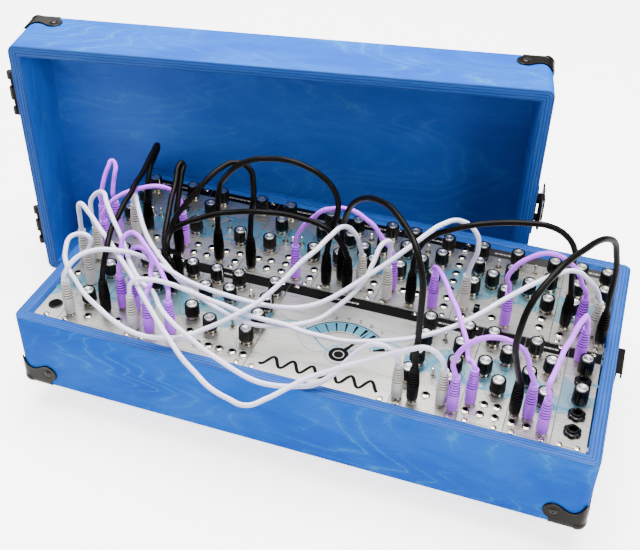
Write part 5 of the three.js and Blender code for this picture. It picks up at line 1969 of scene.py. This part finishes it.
@dataclass(frozen=True)
class Knob:
    """A fluted black knob with a spun aluminium cap and a white line, over its nickel nut.

    Attributes:
        height: Height of its top above the panel.
        foot: Height of its foot.
        radius: Its radius at the foot.
        top: Its radius at the top.
        disc: Radius of the cap.
        sides: Points round it.
        line: Half the white line's width.
        nut: Outline of the nut and the shaft.
        bush: Outline of the washer and the shaft of a knob that turns.
    """

    height: float = 17.4
    foot: float = 4.4
    radius: float = 7.3
    top: float = 6.9
    disc: float = 5.0
    sides: int = 96
    line: float = 0.42
    nut: Profile = ((6.2, 0.0), (6.2, 0.4), (5.7, 0.55), (5.0, 0.6), (5.0, 2.6), (4.5, 3.0),
                    (3.4, 3.1), (3.4, 5.4), (0.1, 5.4))
    bush: Profile = ((0.1, 0.0), (5.6, 0.0), (5.6, 0.35), (3.0, 0.4), (2.9, 10.0), (0.1, 10.2))

    @staticmethod
    def finishes() -> list[bpy.types.Material]:
        """Gives black plastic, spun aluminium, the line's white and nickel."""
        return [KNOB_BLACK.material(), SPUN.material(), KNOB_LINE.material(), NICKEL.material()]

    def shaft(self, shape: Shape, at: Point) -> None:
        """Adds the washer and the shaft of a knob that turns, to a mesh at a place."""
        shape.lathe(self.bush, at, 20)

    def add(self, shape: Shape, at: Point, turn: int, still: bool = True) -> None:
        """Adds one knob.

        Args:
            shape: The mesh.
            at: Its place on the panel.
            turn: Number that sets which way it points.
            still: Whether its nut and shaft are in the same mesh.
        """
        angle = math.radians(90 + (turn * 67) % 240 - 120)
        x, y, z = at
        flutes = (18, 0.6, 2, 6)
        shape.lathe([
            (3.6, self.foot + 1.0), (3.6, self.foot), (self.radius - 0.3, self.foot),
            (self.radius, self.foot + 0.4), (self.radius - 0.1, self.foot + 3.0),
            (self.top, self.height - 1.7), (self.top - 0.05, self.height - 1.1),
            (self.top - 0.3, self.height - 0.4), (self.top - 0.9, self.height - 0.1),
            (self.disc + 0.25, self.height - 0.1), (self.disc + 0.1, self.height - 0.6),
        ], (x, y, z), self.sides, 0, flutes, angle)
        cap = self.height - 0.2
        shape.lathe([
            (self.disc + 0.1, cap - 0.4), (self.disc, cap - 0.15), (self.disc - 0.3, cap),
            (3.4, cap - 0.14), (2.0, cap - 0.27), (0.9, cap - 0.36), (0.12, cap - 0.4),
        ], (x, y, z), 48, 1, None, angle)
        self.pointer(shape, (x, y, z), angle)
        if still:
            shape.lathe(self.nut, (x, y, z), 24, 3, (6, 0.3, 3, 5))

    def pointer(self, shape: Shape, at: Point, angle: float) -> None:
        """Adds the white line up the knob's side and over its edge.

        Args:
            shape: The mesh.
            at: The knob's place.
            angle: The way it points.
        """
        ahead = Vector((math.cos(angle), math.sin(angle), 0))
        across = Vector((-ahead.y, ahead.x, 0)) * self.line
        points = []
        for reach, rise in ((self.radius - 0.1, self.foot + 2.2),
                            (self.top + 0.12, self.height - 1.2),
                            (self.top - 0.42, self.height - 0.2),
                            (self.top - 0.85, self.height - 0.2)):
            point = Vector(at) + Vector((0, 0, rise)) + ahead * reach
            points += [point - across, point + across]
        shape.add(points, [(0, 1, 3, 2), (2, 3, 5, 4), (4, 5, 7, 6)], 2)


@dataclass(frozen=True)
class Jack:
    """A 3.5 mm socket's nickel nut.

    Attributes:
        nut: Outline of the nut.
        bore: Outline of the bore in it.
    """

    nut: Profile = ((4.3, -0.1), (4.3, 0.9), (4.0, 1.3), (3.3, 1.4), (3.15, 1.5), (3.1, 2.0),
                    (2.8, 2.2))
    bore: Profile = ((2.55, 2.2), (2.4, 1.8), (2.35, 0.4), (0.1, 0.4))

    def empty(self, shape: Shape, at: Point) -> None:
        """Adds a socket with its shallow bore to a mesh at a place. Finish 1 is the near-black
        bore: partly black plastic, partly painted shade of the hole's depth.
        """
        shape.lathe(self.nut + self.bore, at, 24, [0] * 8 + [1] * 2, (6, 0.4, 0, 2))

    def patched(self, shape: Shape, at: Point) -> None:
        """Adds a socket that a plug fills, to a mesh at a place."""
        shape.lathe(self.nut + ((0.1, 2.2),), at, 24, 0, (6, 0.4, 0, 2))


@dataclass(frozen=True)
class Toggle:
    """A small switch: a threaded nut and a bat-shaped lever of bright metal.

    Attributes:
        ring: Outline of the nut.
        bat: Outline of the lever above its foot.
        lean: Angle that a lever leans by, in degrees.
    """

    ring: Profile = ((3.2, -0.1), (3.2, 0.9), (2.9, 1.2), (2.4, 1.25), (2.35, 1.6), (1.95, 1.6),
                     (1.9, 0.6), (0.1, 0.6))
    bat: Profile = ((1.05, 3.0), (1.5, 8.6), (1.6, 10.0), (1.35, 10.7), (0.8, 11.0))
    lean: float = 9.0

    def nut(self, shape: Shape, at: Point) -> None:
        """Adds the nut to a mesh at a place."""
        shape.lathe(self.ring, at, 24, 0, (6, 0.2, 0, 1))

    def add(self, shape: Shape, at: Point, throw: int) -> None:
        """Adds the nut and a lever that stays still.

        Args:
            shape: The mesh.
            at: Its place on the panel.
            throw: Way that the lever leans, -1 to 1.
        """
        self.nut(shape, at)
        before = shape.place
        lean = Matrix.Rotation(math.radians(-self.lean * throw), 4, "X")
        shape.place = before @ Matrix.Translation(at) @ lean
        shape.lathe(((1.0, 0.2), *self.bat, (0.1, 11.05)), (0, 0, 0), 18)
        shape.place = before


@dataclass(frozen=True)
class OutputSocket:
    """A 6.35 mm output socket: black nut with a ribbed edge, and its barrel below the panel.

    Attributes:
        outline: Outline of the nut and of the bore in it.
    """

    outline: Profile = ((8.0, 0.0), (8.0, 2.4), (7.2, 3.2), (5.9, 3.4), (5.8, 4.6), (5.2, 5.4),
                        (4.0, 5.5), (3.5, 5.0), (3.3, 3.0), (3.3, -14.0), (0.1, -14.0))

    def add(self, shape: Shape, at: Point) -> None:
        """Adds one to a mesh at a place. Finish 1 is the near-black bore, partly black plastic and
        partly painted shade; finish 2 is black plastic.
        """
        shape.lathe(self.outline, at, 48, [2] * 8 + [1] * 2, (6, 0.9, 0, 2))


@dataclass(frozen=True)
class FlushSocket:
    """A flush round socket: a black ring round a near-black face that is partly black plastic and
    partly painted shade of its hole.

    Attributes:
        outline: Its outline.
    """

    outline: Profile = ((7.0, 0.0), (7.0, 0.5), (6.6, 0.8), (5.2, 0.8), (5.0, 0.3), (0.1, 0.3))

    def add(self, shape: Shape, at: Point) -> None:
        """Adds one to a mesh at a place. Finish 1 is the near-black face, partly black plastic and
        partly painted shade; finish 2 is black plastic.
        """
        shape.lathe(self.outline, at, 36, [2] * 3 + [1] * 2)


@dataclass(frozen=True)
class TriggerButton:
    """A black push button in a raised collar.

    Attributes:
        ring: Half the width and length, the corner's radius and the height of each ring of the
            collar.
        cap: The same for the button.
    """

    ring: Rings = ((4.85, 5.1, 1.0, 0.0), (4.85, 5.1, 1.0, 1.6), (4.4, 4.65, 0.8, 2.0),
                   (3.3, 3.55, 0.4, 2.0), (3.05, 3.3, 0.3, 1.7), (3.05, 3.3, 0.3, 0.0))
    cap: Rings = ((2.7, 2.95, 0.3, -8.0), (2.7, 2.95, 0.3, 8.2), (2.45, 2.7, 0.5, 8.8),
                  (2.0, 2.2, 0.5, 9.0))

    @staticmethod
    def rings(at: Point, sizes: Rings) -> list[list[Point]]:
        """Gives the rings of the collar or the button, of some sizes at a place."""
        x, y, z = at
        return [rounded((x - wide, x + wide), (y - long, y + long), radius, 3, z + rise)
                for wide, long, radius, rise in sizes]

    def collar(self, shape: Shape, at: Point) -> None:
        """Adds the collar to a mesh at a place."""
        shape.loft(self.rings(at, self.ring), 3)

    def build(self, at: Point) -> bpy.types.Object:
        """Makes the moving button.

        Args:
            at: Its place from the middle of the case.

        Returns:
            The object.
        """
        shape = Shape()
        shape.loft(self.rings(at, self.cap))
        return shape.build("trigger_button_cap", [KNOB_BLACK.material()], Body.TRIGGER_BUTTON,
                           "button", 38.0, ["trigger_button"])


@dataclass(frozen=True)
class Rack:
    """Two rows of modules and the controls in them that move."""

    def build(self) -> None:
        """Makes every module and every moving control."""
        for row, specs, front in (("rear", REAR_MODULES, ROW_GAP / 2),
                                  ("front", FRONT_MODULES, -ROW_GAP / 2 - PANEL_LENGTH)):
            left = -ROW_UNITS * UNIT_PITCH / 2
            for number, spec in enumerate(specs):
                node = f"{row}_module_{'abcdefgh'[number]}"
                seed = number + (3 if row == "front" else 0)
                # The last two rear modules get the header with the painted brown reflection.
                module = Module(node, spec, left, front, seed, row == "rear" and number > 4)
                module.build()
                self.movers(module)
                left += spec.units * UNIT_PITCH

    def movers(self, module: Module) -> None:
        """Makes a module's moving controls.

        Args:
            module: The module.
        """
        frame = module.frame()
        for number, place in enumerate(module.places(module.spec.turned), 1):
            shape = Shape(place=frame)
            Knob(foot=0.6).add(shape, (*place, 0.0), number, False)
            body = Body[f"OUTPUT_KNOB_{number}"]
            shape.build(f"output_knob_{number}_cap", Knob.finishes(), body, "knob", 38.0,
                        [f"output_knob_{number}"])
        for place in module.places(module.spec.levers):
            shape = Shape(place=frame)
            shape.lathe(((1.0, -0.6), *Toggle.bat, (0.1, 11.0)), (*place, 0.0), 18)
            shape.build("toggle_lever_bat", [NICKEL.material()], Body.TOGGLE_LEVER, "lever", 38.0,
                        ["toggle_lever"])
        for place in module.places(module.spec.buttons):
            TriggerButton().build(frame @ Vector((*place, 0.0)))



# Carried-over parts and the studio


@dataclass(frozen=True)
class Carried:
    """CAD nodes that keep their shape and get a finish.

    Attributes:
        nodes: Objects of the frame by name.
    """

    nodes: dict[str, bpy.types.Object]

    def build(self) -> None:
        """Gives each carried node its finish."""
        steel = ("front_hook_plate", "rear_hook_plate", "latch_keeper", "lower_hinge_bracket",
                 "upper_hinge_bracket", "latch_plate", "latch_lever", "latch_loop")
        for finish, names in ((BLACK_STEEL, steel),
                              (ALUMINIUM, ("front_rail", "middle_rail", "rear_rail")),
                              (BOARD, ("power_bus_board",)), (RUBBER, ("lid_rest_pad",))):
            for name in names:
                mesh = self.nodes[name].data
                mesh.materials.clear()
                mesh.materials.append(finish.material())
                log(name)


@dataclass(frozen=True)
class Lamp:
    """A soft round light that faces the object.

    Attributes:
        name: Its name.
        place: Its place, in metres.
        size: Its width, in metres.
        power: Its power, in watts.
        aim: The point that it faces, in metres.
    """

    name: str
    place: tuple[float, float, float]
    size: float
    power: float
    aim: tuple[float, float, float] = (0, 0, 0.1)

    def build(self) -> None:
        """Makes the light."""
        data = bpy.data.lights.new(self.name, "AREA")
        data.shape = "DISK"
        data.size = self.size
        data.energy = self.power
        light = bpy.data.objects.new(self.name, data)
        light.location = self.place
        way = Vector(self.aim) - Vector(self.place)
        light.rotation_euler = way.to_track_quat("-Z", "Y").to_euler()
        bpy.context.scene.collection.objects.link(light)


@dataclass(frozen=True)
class Studio:
    """A pale floor, soft lights and pale surroundings.

    Attributes:
        floor_reach: Half the floor's width, in metres.
        glow: Strength of the surroundings.
        lamps: The lights.
    """

    floor_reach: float = 4.0
    glow: float = 0.2
    lamps: tuple[Lamp, ...] = (
        Lamp("top_light", (0.0, 0.2, 2.3), 2.0, 235.0),
        Lamp("key_light", (-1.0, -1.1, 1.7), 0.7, 10.0),
        Lamp("fill_light", (1.7, -0.8, 1.3), 0.9, 28.0),
        Lamp("back_light", (-1.1, 2.1, 2.2), 2.3, 50.0),
    )

    def build(self) -> None:
        """Makes the floor, the lights and the surroundings."""
        mesh = bpy.data.meshes.new("studio_floor")
        reach = self.floor_reach
        mesh.from_pydata([(-reach, -reach, 0), (reach, -reach, 0), (reach, reach, 0),
                          (-reach, reach, 0)], [], [(0, 1, 2, 3)])
        mesh.materials.append(FLOOR.material())
        floor = bpy.data.objects.new("studio_floor", mesh)
        bpy.context.scene.collection.objects.link(floor)
        for lamp in self.lamps:
            lamp.build()
        world = bpy.data.worlds.new("studio")
        bpy.context.scene.world = world
        world.use_nodes = True
        background = world.node_tree.nodes["Background"]
        background.inputs["Color"].default_value = (1.0, 1.0, 1.0, 1.0)
        background.inputs["Strength"].default_value = self.glow
        log("studio")


@dataclass(frozen=True)
class Case:
    """The case: its wooden tray, four ball corners and four feet.

    Attributes:
        foot_x: Distance of the feet from the middle, along the case.
        front_foot_y: Place of the front feet, across the case.
        rear_foot_y: Place of the rear feet, across the case.
    """

    foot_x: float = 236.996
    front_foot_y: float = -104.0
    rear_foot_y: float = 60.04

    def build(self) -> None:
        """Makes the case."""
        tray = PlywoodTray("case_box_wood", CASE_RIM - CASE_BOTTOM, FLOOR_TOP - CASE_BOTTOM,
                           "case_box", Body.CASE)
        tray.build(Matrix.Translation((0, 0, CASE_BOTTOM)))
        still = Matrix.Identity(4)
        for row, back, y in (("front", -1, self.front_foot_y), ("rear", 1, self.rear_foot_y)):
            for side, right in (("left", -1), ("right", 1)):
                corner = (right * CASE_LENGTH / 2, back * CASE_DEPTH / 2, CASE_BOTTOM)
                BallCorner(f"{row}_{side}_ball_corner", (right, back, -1), corner, 2,
                           Body.CASE).build(still)
                Foot(f"{row}_{side}_foot", right * self.foot_x, y).build()


@dataclass(frozen=True)
class Lid:
    """The lid, which stands on its long side: its wooden tray and four ball corners."""

    def build(self) -> None:
        """Makes the lid."""
        place = lid_frame()
        stand = (Matrix.Translation((0, LID_HEIGHT, CASE_DEPTH / 2))
                 @ Matrix.Rotation(math.pi / 2, 4, "X"))
        tray = PlywoodTray("lid_shell_wood", LID_HEIGHT, LID_BACK, "lid_shell", Body.LID)
        tray.build(place @ stand)
        for row, up in (("lower", -1), ("upper", 1)):
            for side, right in (("left", -1), ("right", 1)):
                corner = (right * CASE_LENGTH / 2, LID_HEIGHT, CASE_DEPTH if up > 0 else 0.0)
                BallCorner(f"lid_{row}_{side}_ball_corner", (right, 1, up), corner, 1,
                           Body.LID).build(place)


def main() -> None:
    """Builds the whole scene, the camera and the cords first."""
    logging.basicConfig(level=logging.INFO, format="%(message)s", stream=sys.stdout)
    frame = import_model()
    PhotoCamera().build()
    for route in ROUTES:
        PatchCord(route).build()
    Case().build()
    Lid().build()
    Rack().build()
    Carried(frame["nodes"]).build()
    Studio().build()


if __name__ == "__main__":
    main()
